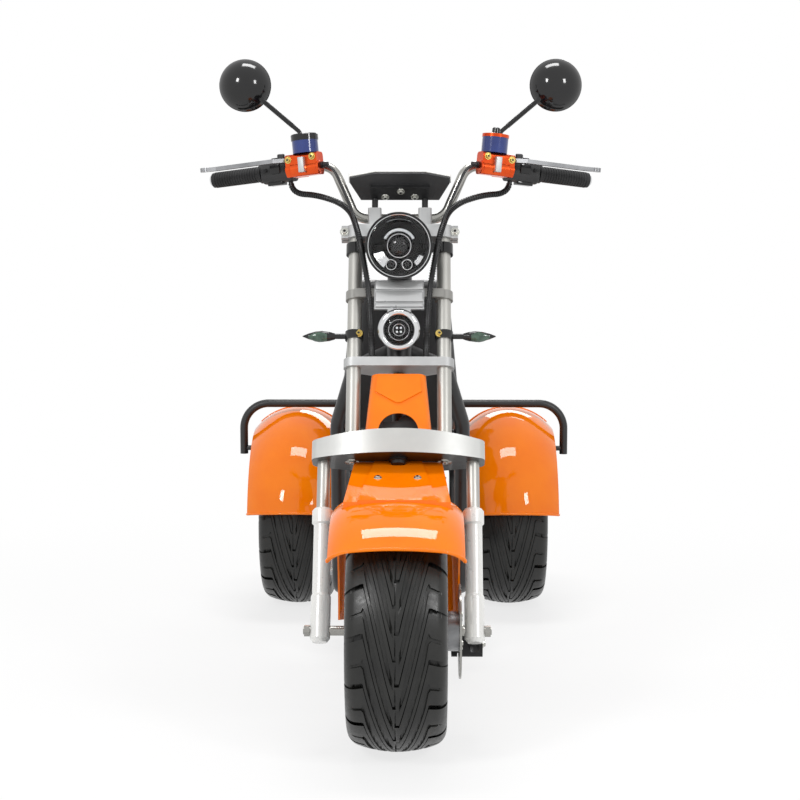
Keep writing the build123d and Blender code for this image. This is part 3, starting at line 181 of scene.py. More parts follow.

# Lighter edges: rubbed wear on most finishes, and a painted highlight along the edges of the dull black.
edge_wear_and_glint, asked, answer = shader_group("edge_wear_and_glint", "Mask", Reach=0.002, Share=0.5)
rounded = add(edge_wear_and_glint, "ShaderNodeBevel", {"samples": 4}, Radius=asked["Reach"])
agree = add(edge_wear_and_glint, "ShaderNodeVectorMath", {"operation": "DOT_PRODUCT"}, in_0=rounded.outputs["Normal"],
            in_1=add(edge_wear_and_glint, "ShaderNodeNewGeometry").outputs["Normal"])
corner = add(edge_wear_and_glint, "ShaderNodeMapRange", Value=agree.outputs["Value"], From_Min=0.995, From_Max=0.90)
edge_breakup = add(edge_wear_and_glint, "ShaderNodeTexNoise", Vector=add(edge_wear_and_glint, "ShaderNodeTexCoord").outputs["Object"],
             Scale=120, Detail=4)
broken = add(edge_wear_and_glint, "ShaderNodeMapRange", Value=edge_breakup.outputs["Fac"], From_Min=0.40, From_Max=0.62)
edge_spots = add(edge_wear_and_glint, "ShaderNodeMath", {"operation": "MULTIPLY"}, in_0=corner.outputs["Result"],
                in_1=broken.outputs["Result"])
edge_amount = add(edge_wear_and_glint, "ShaderNodeMath", {"operation": "MULTIPLY"}, in_0=edge_spots.outputs[0],
                 in_1=asked["Share"])
edge_wear_and_glint.links.new(edge_amount.outputs[0], answer)


def finish_of(name, dark, light, rough, texture, metallic=0.0, patches=14, coat=0.0, worn_and_glinting_edges=None, **fixed):
    """A finish that varies: two near colours, a band of roughness, a fine relief and, if asked, lighter edges for wear
    and painted highlight.
    """
    material = bpy.data.materials.new(name)
    material.use_nodes = True
    tree = material.node_tree
    skin = tree.nodes["Principled BSDF"].inputs
    shade = add(tree, "ShaderNodeGroup", {"node_tree": mottle}, Scale=patches)
    colour = add(tree, "ShaderNodeMix", {"name": "tint", "data_type": "RGBA"}, Factor=shade.outputs["Value"],
                 A=srgb(dark), B=srgb(light))
    if worn_and_glinting_edges:
        edge_colour, reach, edge_share = worn_and_glinting_edges
        edge_mask = add(tree, "ShaderNodeGroup", {"node_tree": edge_wear_and_glint}, Reach=reach, Share=edge_share)
        colour = add(tree, "ShaderNodeMix", {"data_type": "RGBA"}, Factor=edge_mask.outputs["Mask"],
                     A=colour.outputs["Result"], B=srgb(edge_colour))
    sheen = add(tree, "ShaderNodeGroup", {"node_tree": mottle}, Scale=patches * 5, Low=rough[0], High=rough[1])
    scale, depth, pitted = texture
    relief = add(tree, "ShaderNodeGroup", {"name": "relief", "node_tree": grain}, Scale=scale, Pits=pitted)
    bump = add(tree, "ShaderNodeBump", {"name": "bump"}, Strength=1.0, Distance=depth, Height=relief.outputs["Height"])
    tree.links.new(colour.outputs["Result"], skin["Base Color"])
    tree.links.new(sheen.outputs["Value"], skin["Roughness"])
    tree.links.new(bump.outputs["Normal"], skin["Normal"])
    skin["Metallic"].default_value = metallic
    skin["Coat Weight"].default_value = coat
    for label, value in fixed.items():
        skin[label.replace("_", " ")].default_value = value
    return material


def dress(material, *names):
    """Gives CAD nodes their finish."""
    for name in names:
        mesh = nodes[name].data
        if not mesh.materials:
            mesh.materials.append(material)
        for i in range(len(mesh.materials)):
            mesh.materials[i] = material


powder_black = finish_of("powder_black", (24, 24, 25), (38, 38, 39), (0.32, 0.46), (900, 0.00006, 0.2),
                         worn_and_glinting_edges=((84, 84, 84), 0.0025, 0.6))
dress(powder_black, "frame_neck", "frame_rails", "frame_crossmembers", "backrest_frame", "rear_deck",
      "swingarm", "fender_stays", "guard_rails", "dash_bracket")

# Moulded black covers: the console behind the neck, the battery box under the floor and the seat box,
# in grained polypropylene that is duller than the frame's coat.
grained_black = finish_of("grained_black", (28, 28, 29), (42, 42, 43), (0.45, 0.6), (420, 0.0002, 0.7),
                          worn_and_glinting_edges=((72, 72, 73), 0.003, 0.55))
dress(grained_black, "console", "battery_box", "seat_box")

# Screws: flanged hex heads in zinc, black zinc or brass on every clamp and cover. Geometry Nodes set one
# head on each place and turn it to face the way the place's own direction says.
SIDES = (-1, 1)
SCREW_INSET = 0.03


def kit_tree(name, kinds):
    """An empty Geometry Nodes tree with places and named values as inputs: it, its sockets, what it is asked."""
    tree = bpy.data.node_groups.new(name, "GeometryNodeTree")
    tree.interface.new_socket("Places", in_out="INPUT", socket_type="NodeSocketGeometry")
    sockets = {label: tree.interface.new_socket(label, in_out="INPUT", socket_type="NodeSocket" + kind)
               for label, kind in kinds.items()}
    tree.interface.new_socket("Pieces", in_out="OUTPUT", socket_type="NodeSocketGeometry")
    return tree, sockets, tree.nodes.new("NodeGroupInput").outputs


def one_on_each(tree, asked, shape):
    """Sets the shape on each place, its axis along the place's direction, and makes the copies real."""
    way = add(tree, "GeometryNodeInputNamedAttribute", {"data_type": "FLOAT_VECTOR"}, Name="facing")
    turn = add(tree, "FunctionNodeAlignRotationToVector", {"axis": "Z"}, Vector=way.outputs["Attribute"])
    spots = add(tree, "GeometryNodeInstanceOnPoints", Points=asked["Places"], Instance=shape,
                Rotation=turn.outputs[0])
    return add(tree, "GeometryNodeRealizeInstances", in_0=spots.outputs[0]).outputs[0]


screw_kit = kit_tree("flanged_screws", {"Head Radius": "Float", "Head Height": "Float", "Sides": "Int",
                                        "Metal": "Material", "Socket": "Material"})
screw_tree, asked = screw_kit[0], screw_kit[2]


def times(socket, factor):
    """A size that follows a named input of the screws."""
    return add(screw_tree, "ShaderNodeMath", {"operation": "MULTIPLY"}, in_0=socket, in_1=factor).outputs[0]


stack = add(screw_tree, "GeometryNodeJoinGeometry")
for sides, bottom, top, low, tall, sunk in (
    (24, 1.5, 1.42, 0.0, 0.26, False), (None, 1.0, 1.0, 0.26, 0.54, False), (None, 1.0, 0.84, 0.8, 0.2, False),
    (6, 0.52, 0.5, 0.9, 0.11, True),
):
    ring = add(screw_tree, "GeometryNodeMeshCone", Vertices=sides or asked["Sides"],
               Radius_Bottom=times(asked["Head Radius"], bottom), Radius_Top=times(asked["Head Radius"], top),
               Depth=times(asked["Head Height"], tall))
    seat = add(screw_tree, "ShaderNodeCombineXYZ", Z=times(asked["Head Height"], low))
    lift = add(screw_tree, "GeometryNodeTransform", Geometry=ring.outputs["Mesh"], Translation=seat.outputs[0])
    mark = add(screw_tree, "GeometryNodeStoreNamedAttribute", {"data_type": "BOOLEAN", "domain": "FACE"},
               Geometry=lift.outputs[0], Name="sunk", Value=sunk)
    screw_tree.links.new(mark.outputs[0], stack.inputs[0])
inside = add(screw_tree, "GeometryNodeInputNamedAttribute", {"data_type": "BOOLEAN"}, Name="sunk")
plating = add(screw_tree, "GeometryNodeSetMaterial", Geometry=one_on_each(screw_tree, asked, stack.outputs[0]),
              Material=asked["Metal"])
shadow = add(screw_tree, "GeometryNodeSetMaterial", Geometry=plating.outputs[0],
             Selection=inside.outputs["Attribute"], Material=asked["Socket"])
screw_tree.links.new(shadow.outputs[0], screw_tree.nodes.new("NodeGroupOutput").inputs[0])

zinc = finish_of("zinc", (176, 176, 170), (206, 206, 200), (0.22, 0.36), (800, 0.00002, 0.1), metallic=0.95)
black_zinc = finish_of("black_zinc", (26, 26, 27), (44, 44, 45), (0.3, 0.42), (800, 0.00004, 0.1), metallic=0.5)
brass = finish_of("brass", (186, 160, 84), (214, 190, 112), (0.24, 0.36), (800, 0.00003, 0.1), metallic=0.9)


def worked(holder):
    """The mesh of an object with its modifiers worked in."""
    return bpy.data.meshes.new_from_object(holder.evaluated_get(bpy.context.evaluated_depsgraph_get()))


def set_out(name, kit, places, values):
    """The mesh that a kit makes on its places; each place is a point and a direction."""
    tree, sockets, asked = kit
    dots = bpy.data.meshes.new(name + "_places")
    dots.from_pydata([tuple(point) for point, way in places], [], [])
    ways = dots.attributes.new("facing", "FLOAT_VECTOR", "POINT")
    for spot, (point, way) in zip(ways.data, places):
        spot.vector = Vector(way).normalized()
    holder = bpy.data.objects.new(name + "_places", dots)
    scene.collection.objects.link(holder)
    maker = holder.modifiers.new("kit", "NODES")
    maker.node_group = tree
    for label, value in values.items():
        maker[sockets[label].identifier] = value
    made = worked(holder)
    bpy.data.objects.remove(holder)
    return made


def fitted(mesh, material, body, smooth=35, name=None, stands_for=None):
    """A finished piece at the origin, smooth except at its edges, that rides on a body."""
    if not mesh.materials:
        mesh.materials.append(material)
    piece = bpy.data.objects.new(name or mesh.name, mesh)
    scene.collection.objects.link(piece)
    mesh.shade_smooth()
    mesh.set_sharp_from_angle(angle=math.radians(smooth))
    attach(piece, body)
    if stands_for:
        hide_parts(stands_for)


def screws(name, body, places, radius, height, metal, sides=6):
    """One piece of like screws on a body."""
    made = set_out(name, screw_kit, places, {"Head Radius": radius, "Head Height": height, "Sides": sides,
                                             "Metal": metal, "Socket": black_zinc})
    fitted(made, metal, body, smooth=30, name=name)


box_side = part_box("seat_box")[1].x
screws("seat_box_screws", "chassis",
       [((side * box_side, y, z), (side, 0, 0)) for side in SIDES for y in (0.37, 0.6) for z in (0.45, 0.59)],
       0.005, 0.004, black_zinc)
board_low, board_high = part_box("footboard")
screws("footboard_screws", "chassis",
       [((x, y, board_high.z), (0, 0, 1)) for x in (board_low.x + SCREW_INSET, board_high.x - SCREW_INSET)
        for y in (board_low.y + SCREW_INSET, board_high.y - SCREW_INSET)], 0.006, 0.004, zinc)

# The footboard: a pressed aluminium tray, screwed to the frame at its corners, with a brushed face and
# a diamond tread raised in the press.
TREAD_RISE, LOZENGES = 0.0006, 36
brushed_alloy = finish_of("brushed_alloy", (172, 173, 173), (196, 197, 197), (0.42, 0.54), (500, 0.00002, 0.1),
                          metallic=0.7, worn_and_glinting_edges=((222, 222, 220), 0.0015, 0.7))
tread_plate = finish_of("tread_plate", (142, 143, 144), (178, 179, 180), (0.34, 0.5), (500, 0.00003, 0.1),
                        metallic=0.9, worn_and_glinting_edges=((214, 214, 212), 0.002, 0.7))
plate = tread_plate.node_tree
plate_turn = add(plate, "ShaderNodeMapping", Vector=add(plate, "ShaderNodeTexCoord").outputs["Object"],
                 Rotation=(0, 0, math.radians(45)), Scale=(LOZENGES, LOZENGES, 1))
lozenge = add(plate, "ShaderNodeTexChecker", Vector=plate_turn.outputs[0], Scale=1.0)
raised = add(plate, "ShaderNodeMath", {"operation": "ADD"}, in_0=lozenge.outputs["Fac"],
             in_1=plate.nodes["relief"].outputs["Height"])
plate.links.new(raised.outputs[0], plate.nodes["bump"].inputs["Height"])
plate.nodes["bump"].inputs["Distance"].default_value = TREAD_RISE
dress(tread_plate, "footboard")

# The rear axle: a cast drive unit with its tubes and brake plates, in rough alloy with a plated sheen,
# carried by the black swingarm.
cast_alloy = finish_of("cast_alloy", (112, 113, 114), (146, 147, 148), (0.4, 0.6), (380, 0.00016, 0.5), metallic=0.8)
dress(cast_alloy, "rear_axle")

# Rear shocks: a chromed damper in a wound spring between two cups, from the swingarm's pad to the eye
# on the cross tube. The CAD sleeve stands for the spring; here it is a real coil.
SHOCK_X, SHOCK_Y, PAD_Z, EYE_Z = 0.095, 0.49, 0.2963, 0.412
COIL_R, COIL_LIFT, COIL_TALL, COIL_TURNS, COIL_STEPS = 0.0195, 0.015, 0.0565, 6, 28
bright_chrome = finish_of("bright_chrome", (206, 207, 208), (222, 223, 224), (0.06, 0.12), (500, 0.00001, 0.0),
                          metallic=1.0)


def round_of(count):
    """Cosine and sine at even steps of one turn."""
    return [(math.cos(2 * math.pi * k / count), math.sin(2 * math.pi * k / count)) for k in range(count)]


def solid_of(name, verts, faces):
    """A mesh whose faces all look outwards."""
    mesh = bpy.data.meshes.new(name)
    mesh.from_pydata(verts, [], faces)
    skin = bmesh.new()
    skin.from_mesh(mesh)
    bmesh.ops.recalc_face_normals(skin, faces=skin.faces)
    skin.to_mesh(mesh)
    skin.free()
    return mesh


def ring_frames(points, closed):
    """Steady cross-section frames along a path of points."""
    count = len(points)
    ways = []
    for i in range(count):
        before = points[(i - 1) % count] if closed or i else points[i]
        after = points[(i + 1) % count] if closed or i < count - 1 else points[i]
        ways.append((after - before).normalized())
    side = ways[0].orthogonal().normalized()
    frames = []
    for way in ways:
        side = (side - way * side.dot(way)).normalized()
        frames.append((side, way.cross(side)))
    return frames


def tube_mesh(name, paths, radius, sides=12, closed=False):
    """Round bar along each path; the ends of an open one are closed."""
    verts, faces = [], []
    for points in paths:
        points = [Vector(p) for p in points]
        base, count = len(verts), len(points)
        for point, (u, v) in zip(points, ring_frames(points, closed)):
            verts += [point + u * (radius * c) + v * (radius * s) for c, s in round_of(sides)]
        for i in range(count if closed else count - 1):
            here, there = base + i * sides, base + (i + 1) % count * sides
            for k in range(sides):
                m = (k + 1) % sides
                faces.append((here + k, here + m, there + m, there + k))
        if not closed:
            faces.append(tuple(base + k for k in reversed(range(sides))))
            faces.append(tuple(base + (count - 1) * sides + k for k in range(sides)))
    return solid_of(name, verts, faces)


def turned_mesh(name, turnings, segments=48):
    """Turned parts; each is (origin, axis, profile), the profile (along, radius) from end to end or a ring."""
    verts, faces = [], []
    for origin, axis, profile in turnings:
        axis = Vector(axis).normalized()
        u = axis.orthogonal().normalized()
        v = axis.cross(u)
        ring_shaped = profile[0] == profile[-1]
        rings = []
        for along, radius in profile[:-1] if ring_shaped else profile:
            middle = Vector(origin) + axis * along
            first = len(verts)
            if radius < 1e-6:
                verts.append(middle)
            else:
                verts += [middle + u * (radius * c) + v * (radius * s) for c, s in round_of(segments)]
            rings.append(list(range(first, len(verts))))
        for a, b in list(zip(rings, rings[1:])) + ([(rings[-1], rings[0])] if ring_shaped else []):
            for k in range(segments):
                n = (k + 1) % segments
                if len(a) == 1 and len(b) > 1:
                    faces.append((a[0], b[k], b[n]))
                elif len(b) == 1 and len(a) > 1:
                    faces.append((a[k], b[0], a[n]))
                elif len(a) > 1:
                    faces.append((a[k], b[k], b[n], a[n]))
        if not ring_shaped:
            faces += [tuple(ring) for ring in (rings[0], rings[-1]) if len(ring) > 1]
    return solid_of(name, verts, faces)


dampers, coils = [], []
for side in SIDES:
    dampers.append(((side * SHOCK_X, SHOCK_Y, PAD_Z), (0, 0, 1), [
        (0, 0.0), (0, 0.018), (0.006, 0.018), (0.008, 0.024), (0.0125, 0.024), (0.0125, 0.013), (0.05, 0.013),
        (0.05, 0.0075), (0.074, 0.0075), (0.074, 0.024), (0.079, 0.024), (0.081, 0.014), (0.1035, 0.014),
        (0.1035, 0.0)]))
    dampers.append(((side * SHOCK_X - 0.013, SHOCK_Y, EYE_Z), (1, 0, 0), [
        (0, 0.0123), (0, 0.0165), (0.001, 0.017), (0.025, 0.017), (0.026, 0.0165), (0.026, 0.0123), (0, 0.0123)]))
    coils.append([(side * SHOCK_X + COIL_R * math.cos(2 * math.pi * i / COIL_STEPS),
                   SHOCK_Y + COIL_R * math.sin(2 * math.pi * i / COIL_STEPS),
                   PAD_Z + COIL_LIFT + COIL_TALL * i / (COIL_TURNS * COIL_STEPS))
                  for i in range(COIL_TURNS * COIL_STEPS + 1)])
fitted(turned_mesh("rear_dampers", dampers), bright_chrome, "chassis", stands_for="rear_shocks")
fitted(tube_mesh("rear_springs", coils, 0.0036, 10), powder_black, "chassis")

# Wheels: cast alloy rims with five pairs of spokes, machined on the lip and dark in the well, under a
# thin clear coat. The hubs run on the axles.
cast_rim = finish_of("cast_rim", (142, 143, 145), (180, 181, 183), (0.3, 0.42), (500, 0.00005, 0.3),
                     metallic=0.85, coat=0.3)
dress(cast_rim, "front_rim", "rear_left_rim", "rear_right_rim")

# Tyres: three low balloon tyres in black rubber with a directional V tread. Each groove starts with a hook
# on the shoulder and runs in towards the centre line; the two halves are staggered by half a pitch.
FRONT_AXLE_Y, REAR_AXLE_Y, WHEEL_X = -0.691, 0.609, 0.297
GROOVES, ROWS = 15, 14
TREAD_R, GROOVE_START, HOOK_START, HOOK_END = 0.238, 0.006, 0.062, 0.086
GROOVE_ANGLE, GROOVE_W, GROOVE_D = math.radians(13), 0.0100, 0.0090
GROOVE_STOPS = (0.0, 0.36, 0.46, 0.56)
CROWN_HALF, CROWN_DROP = 0.078, 0.014


def arc_points(start, middle, end, count):
    """Points along the arc through three points, turning clockwise."""
    (ax, ay), (bx, by), (cx, cy) = start, middle, end
    d = 2 * (ax * (by - cy) + bx * (cy - ay) + cx * (ay - by))
    ux = ((ax**2 + ay**2) * (by - cy) + (bx**2 + by**2) * (cy - ay) + (cx**2 + cy**2) * (ay - by)) / d
    uy = ((ax**2 + ay**2) * (cx - bx) + (bx**2 + by**2) * (ax - cx) + (cx**2 + cy**2) * (bx - ax)) / d
    radius = math.hypot(ax - ux, ay - uy)
    first, mid, last = (math.atan2(y - uy, x - ux) for x, y in (start, middle, end))
    while mid > first:
        mid -= 2 * math.pi
    while last > mid:
        last -= 2 * math.pi
    return [(ux + radius * math.cos(first + (last - first) * i / count),
             uy + radius * math.sin(first + (last - first) * i / count)) for i in range(count + 1)]


crown_r = (CROWN_HALF**2 + CROWN_DROP**2) / (2 * CROWN_DROP)
half_section = [(x, TREAD_R - crown_r + math.sqrt(crown_r**2 - x**2)) for x in (
    0, 0.003, 0.006, 0.009, 0.013, 0.018, 0.024, 0.03, 0.036, 0.042, 0.048, 0.053, 0.056, 0.058, 0.06, 0.062,
    0.064, 0.066, 0.07, 0.074, 0.078)]
half_section += arc_points((0.078, 0.224), (0.098, 0.2), (0.084, 0.166), 26)[1:]
half_section += [(0.0842, 0.160), (0.0842, 0.1535), (0.0765, 0.1530)]


def groove_column(side, x, radius, wheel_x, wheel_y, verts):
    """One ring of the tyre's skin, sheared to follow the grooves and sunk where one crosses it."""
    pitch = 2 * math.pi * TREAD_R / GROOVES
    hooked = min(1.0, max(0.0, (x - HOOK_START + 0.006) / 0.010))
    grown = min(1.0, max(0.0, (x - GROOVE_START) / 0.010))
    faded = min(1.0, max(0.0, (HOOK_END - x) / 0.008))
    wide = (1 - hooked) * GROOVE_W / math.sin(GROOVE_ANGLE) + hooked * GROOVE_W * 0.85
    wide *= (0.25 + 0.75 * grown) / pitch
    depth = GROOVE_D * grown * faded * (1 - 0.35 * hooked)
    lean = max(0.0, min(x, HOOK_START) - GROOVE_START) / math.tan(GROOVE_ANGLE)
    lean -= max(0.0, x - HOOK_START) * 0.35
    edge = GROOVE_STOPS[3] * wide
    ring = []
    for k in range(GROOVES):
        for j in range(ROWS):
            near = j if j <= ROWS // 2 else j - ROWS
            if abs(near) <= 3:
                cut = math.copysign(GROOVE_STOPS[abs(near)] * wide, near)
            else:
                cut = math.copysign(edge + (0.5 - edge) * (abs(near) - 3) / (ROWS / 2 - 3), near)
            even = near / ROWS
            along = even + (cut - even) * grown
            angle = (lean + pitch * (k + (0.5 if side < 0 else 0.0) + along)) / TREAD_R
            deep = radius - (depth if abs(near) <= 1 else 0.0)
            ring.append(len(verts))
            verts.append((wheel_x + side * x, wheel_y - deep * math.cos(angle), TREAD_R + deep * math.sin(angle)))
    return ring


def tyre_mesh(name, wheel_x, wheel_y):
    """The whole skin from bead to bead, closed across the rim's well."""
    verts, faces = [], []
    last_column = len(half_section) - 1
    order = [(-1, i) for i in range(last_column, 0, -1)] + [(1, i) for i in range(last_column + 1)]
    rings = [groove_column(side, *half_section[i], wheel_x, wheel_y, verts) for side, i in order]
    total = GROOVES * ROWS
    for c, ring in enumerate(rings):
        following = rings[(c + 1) % len(rings)]
        step = ROWS // 2 if c == last_column - 1 else -(ROWS // 2) if c == len(rings) - 1 else 0
        for j in range(total):
            n = (j + 1) % total
            faces.append((ring[j], following[(j + step) % total], following[(n + step) % total], ring[n]))
    return solid_of(name, verts, faces)


tyre_black = finish_of("tyre_black", (26, 26, 25), (38, 38, 36), (0.27, 0.42), (650, 0.00010, 0.5), patches=24,
                       Specular_IOR_Level=0.4)
for node, body, x, y in (("front_tyre", "front_wheel", 0.0, FRONT_AXLE_Y),
                         ("rear_left_tyre", "rear_wheel_left", WHEEL_X, REAR_AXLE_Y),
                         ("rear_right_tyre", "rear_wheel_right", -WHEEL_X, REAR_AXLE_Y)):
    fitted(tyre_mesh("tread_" + node, x, y), tyre_black, body, smooth=32, stands_for=node)

# Rear fenders: two arches of pressed steel over the rear tyres, painted gloss orange, with a wire rolled
# into the open edge all round and a bead pressed across the top, screwed to the frame's stays.
FENDER_HALF, FENDER_TOP, FENDER_SHOULDER, FENDER_SKIRT = 0.1225, 0.3195, 0.2615, 0.2335
FENDER_FROM, FENDER_TO, BEAD_AT = math.radians(12.3), math.radians(185.7), math.radians(97)
BEAD_HALF, BEAD_DROP, BEAD_STEP = 0.116, 0.05, 0.0073
gloss_orange = finish_of("gloss_orange", (249, 121, 2), (254, 131, 4), (0.2, 0.3), (260, 0.00002, 0.0),
                         coat=1.0, Coat_Roughness=0.03, Coat_IOR=1.4, Specular_IOR_Level=0.0)
dress(gloss_orange, "rear_fender_left", "rear_fender_right", "front_mudguard", "nose_cowl")


def round_wheel(x, y, r, a):
    """A point by its reach and angle round a wheel's axle."""
    return x, y - r * math.cos(a), TREAD_R + r * math.sin(a)


def bowed(half, drop, top, x):
    """The height of a bow that falls by its drop at its half width."""
    bend = (half**2 + drop**2) / (2 * drop)
    return top - bend + math.sqrt(bend**2 - x**2)


def arch_loop(wheel_x, steps=60, ribs=16):
    """The open edge of a fender: across its front end, back along one side, across its rear and home."""
    turn = FENDER_TO - FENDER_FROM
    middle = (FENDER_SKIRT + FENDER_SHOULDER) / 2
    across = [(-FENDER_HALF, FENDER_SKIRT), (-FENDER_HALF, middle)]
    across += [(x, bowed(FENDER_HALF, FENDER_TOP - FENDER_SHOULDER, FENDER_TOP, x))
               for x in (FENDER_HALF * i / ribs for i in range(-ribs, ribs + 1))]
    across += [(FENDER_HALF, middle), (FENDER_HALF, FENDER_SKIRT)]
    loop = [(x, r, FENDER_FROM) for x, r in across]
    loop += [(FENDER_HALF, FENDER_SKIRT, FENDER_FROM + turn * i / steps) for i in range(1, steps)]
    loop += [(x, r, FENDER_TO) for x, r in reversed(across)]
    loop += [(-FENDER_HALF, FENDER_SKIRT, FENDER_TO - turn * i / steps) for i in range(1, steps)]
    return [round_wheel(wheel_x + x, REAR_AXLE_Y, r, a) for x, r, a in loop]


loops = [arch_loop(side * WHEEL_X) for side in SIDES]
beads = [[round_wheel(side * WHEEL_X + x, REAR_AXLE_Y, bowed(BEAD_HALF, BEAD_DROP, FENDER_TOP, x), BEAD_AT)
          for x in (BEAD_STEP * i for i in range(-15, 16))] for side in SIDES]
fitted(tube_mesh("fender_wired_edges", loops, 0.0034, 8, closed=True), gloss_orange, "chassis", 60)
fitted(tube_mesh("fender_beads", beads, 0.0042, 10), gloss_orange, "chassis", 60)
screws("fender_screws", "chassis",
       [((side * 0.1742, y, z), (side, 0, 0)) for side in SIDES for y in (0.555, 0.663) for z in (0.455, 0.478)],
       0.005, 0.004, zinc)

# The seats: foam in black vinyl, each blown up in the cloth solver from a slightly small block, with a
# sunk seam inside its border, a row of stitches each side of the seam and piping round its shoulder.
BLOCK_WIDE, BLOCK_TALL, BLOCK_GRID, PUFF_FRAMES, PUFF_CAP = 0.965, 0.88, 0.006, 20, 0.012
SEAM_DEEP, SEAM_WIDE, RIB_DEEP, RIB_WIDE = 0.006, 0.0055, 0.005, 0.006
STITCH_OFF, STITCH_PITCH, SEAM_STEPS, PIPING_STEPS, PIPING_LOW = 0.0065, 0.0075, 720, 120, 0.42
vinyl = finish_of("seat_vinyl", (26, 26, 27), (36, 36, 37), (0.36, 0.5), (520, 0.0003, 0.8), patches=18)
thread = finish_of("seat_thread", (52, 52, 53), (66, 66, 67), (0.6, 0.75), (3000, 0.00004, 0.2))


def row_kit(name, long_bead):
    """A kit that sets one long bead or flat disc on each place, its axis along the place's direction."""
    kit = kit_tree(name, {"Radius": "Float", "Length": "Float", "Finish": "Material"})
    tree, sockets, asked = kit
    if long_bead:
        bead = add(tree, "GeometryNodeMeshUVSphere", Radius=asked["Radius"], Segments=8, Rings=5)
        stretch = add(tree, "ShaderNodeCombineXYZ", X=1.0, Y=1.0, Z=asked["Length"])
        one = add(tree, "GeometryNodeTransform", Geometry=bead.outputs["Mesh"], Scale=stretch.outputs[0])
    else:
        one = add(tree, "GeometryNodeMeshCylinder", Radius=asked["Radius"], Depth=asked["Length"], Vertices=20)
    cover = add(tree, "GeometryNodeSetMaterial", Geometry=one_on_each(tree, asked, one.outputs[0]),
                Material=asked["Finish"])
    tree.links.new(cover.outputs[0], tree.nodes.new("NodeGroupOutput").inputs[0])
    return kit


stitch_kit = row_kit("stitches", True)
collar_kit = row_kit("collars", False)


def row_of(kit, name, body, places, radius, length, material):
    """One piece made of a row of small solids."""
    made = set_out(name, kit, places, {"Radius": radius, "Length": length, "Finish": material})
    fitted(made, material, body, smooth=40, name=name)


def baked(piece):
    """Works the piece's modifiers into its mesh."""
    made = worked(piece)
    piece.modifiers.clear()
    piece.data = made
    return made


def rounded_box(u, v, half_u, half_v, corner):
    """Signed distance to a rounded rectangle, negative inside."""
    a, b = abs(u) - half_u + corner, abs(v) - half_v + corner
    return math.hypot(max(a, 0), max(b, 0)) + min(max(a, b), 0) - corner


def puffed(piece, middle, base, bottom):
    """Blows the block up in the cloth solver, held along its base, no further than the cap."""
    rest = [v.co.copy() for v in piece.data.vertices]
    pins = piece.vertex_groups.new(name="pins")
    pins.add([i for i, co in enumerate(rest) if (co - middle).dot(base) > bottom - 0.007], 1.0, "REPLACE")
    cloth = piece.modifiers.new("cloth", "CLOTH")
    cloth.settings.quality = 5
    cloth.settings.mass = 0.25
    cloth.settings.tension_stiffness = cloth.settings.compression_stiffness = 12
    cloth.settings.shear_stiffness = 5
    cloth.settings.bending_stiffness = 3.0
    cloth.settings.use_pressure = True
    cloth.settings.uniform_pressure_force = 4
    cloth.settings.vertex_group_mass = "pins"
    cloth.settings.effector_weights.gravity = 0
    cloth.collision_settings.use_collision = False
    cloth.point_cache.frame_start, cloth.point_cache.frame_end = 1, PUFF_FRAMES
    for step in range(1, PUFF_FRAMES + 1):
        scene.frame_set(step)
    mesh = baked(piece)
    piece.vertex_groups.clear()
    scene.frame_set(1)
    for v, old in zip(mesh.vertices, rest):
        move = v.co - old
        if move.length > PUFF_CAP:
            v.co = old + move * (PUFF_CAP / move.length)


def seam_line(half_u, half_v, corner, reach):
    """Points round the border at an even inset, by halving the way out."""
    outline = []
    for c, s in round_of(SEAM_STEPS):
        near, far = 0.0, 0.3
        for _ in range(24):
            t = (near + far) / 2
            inside = rounded_box(c * t, s * t, half_u, half_v, corner) < -reach
            near, far = (t, far) if inside else (near, t)
        outline.append(Vector((c, s)) * near)
    return outline


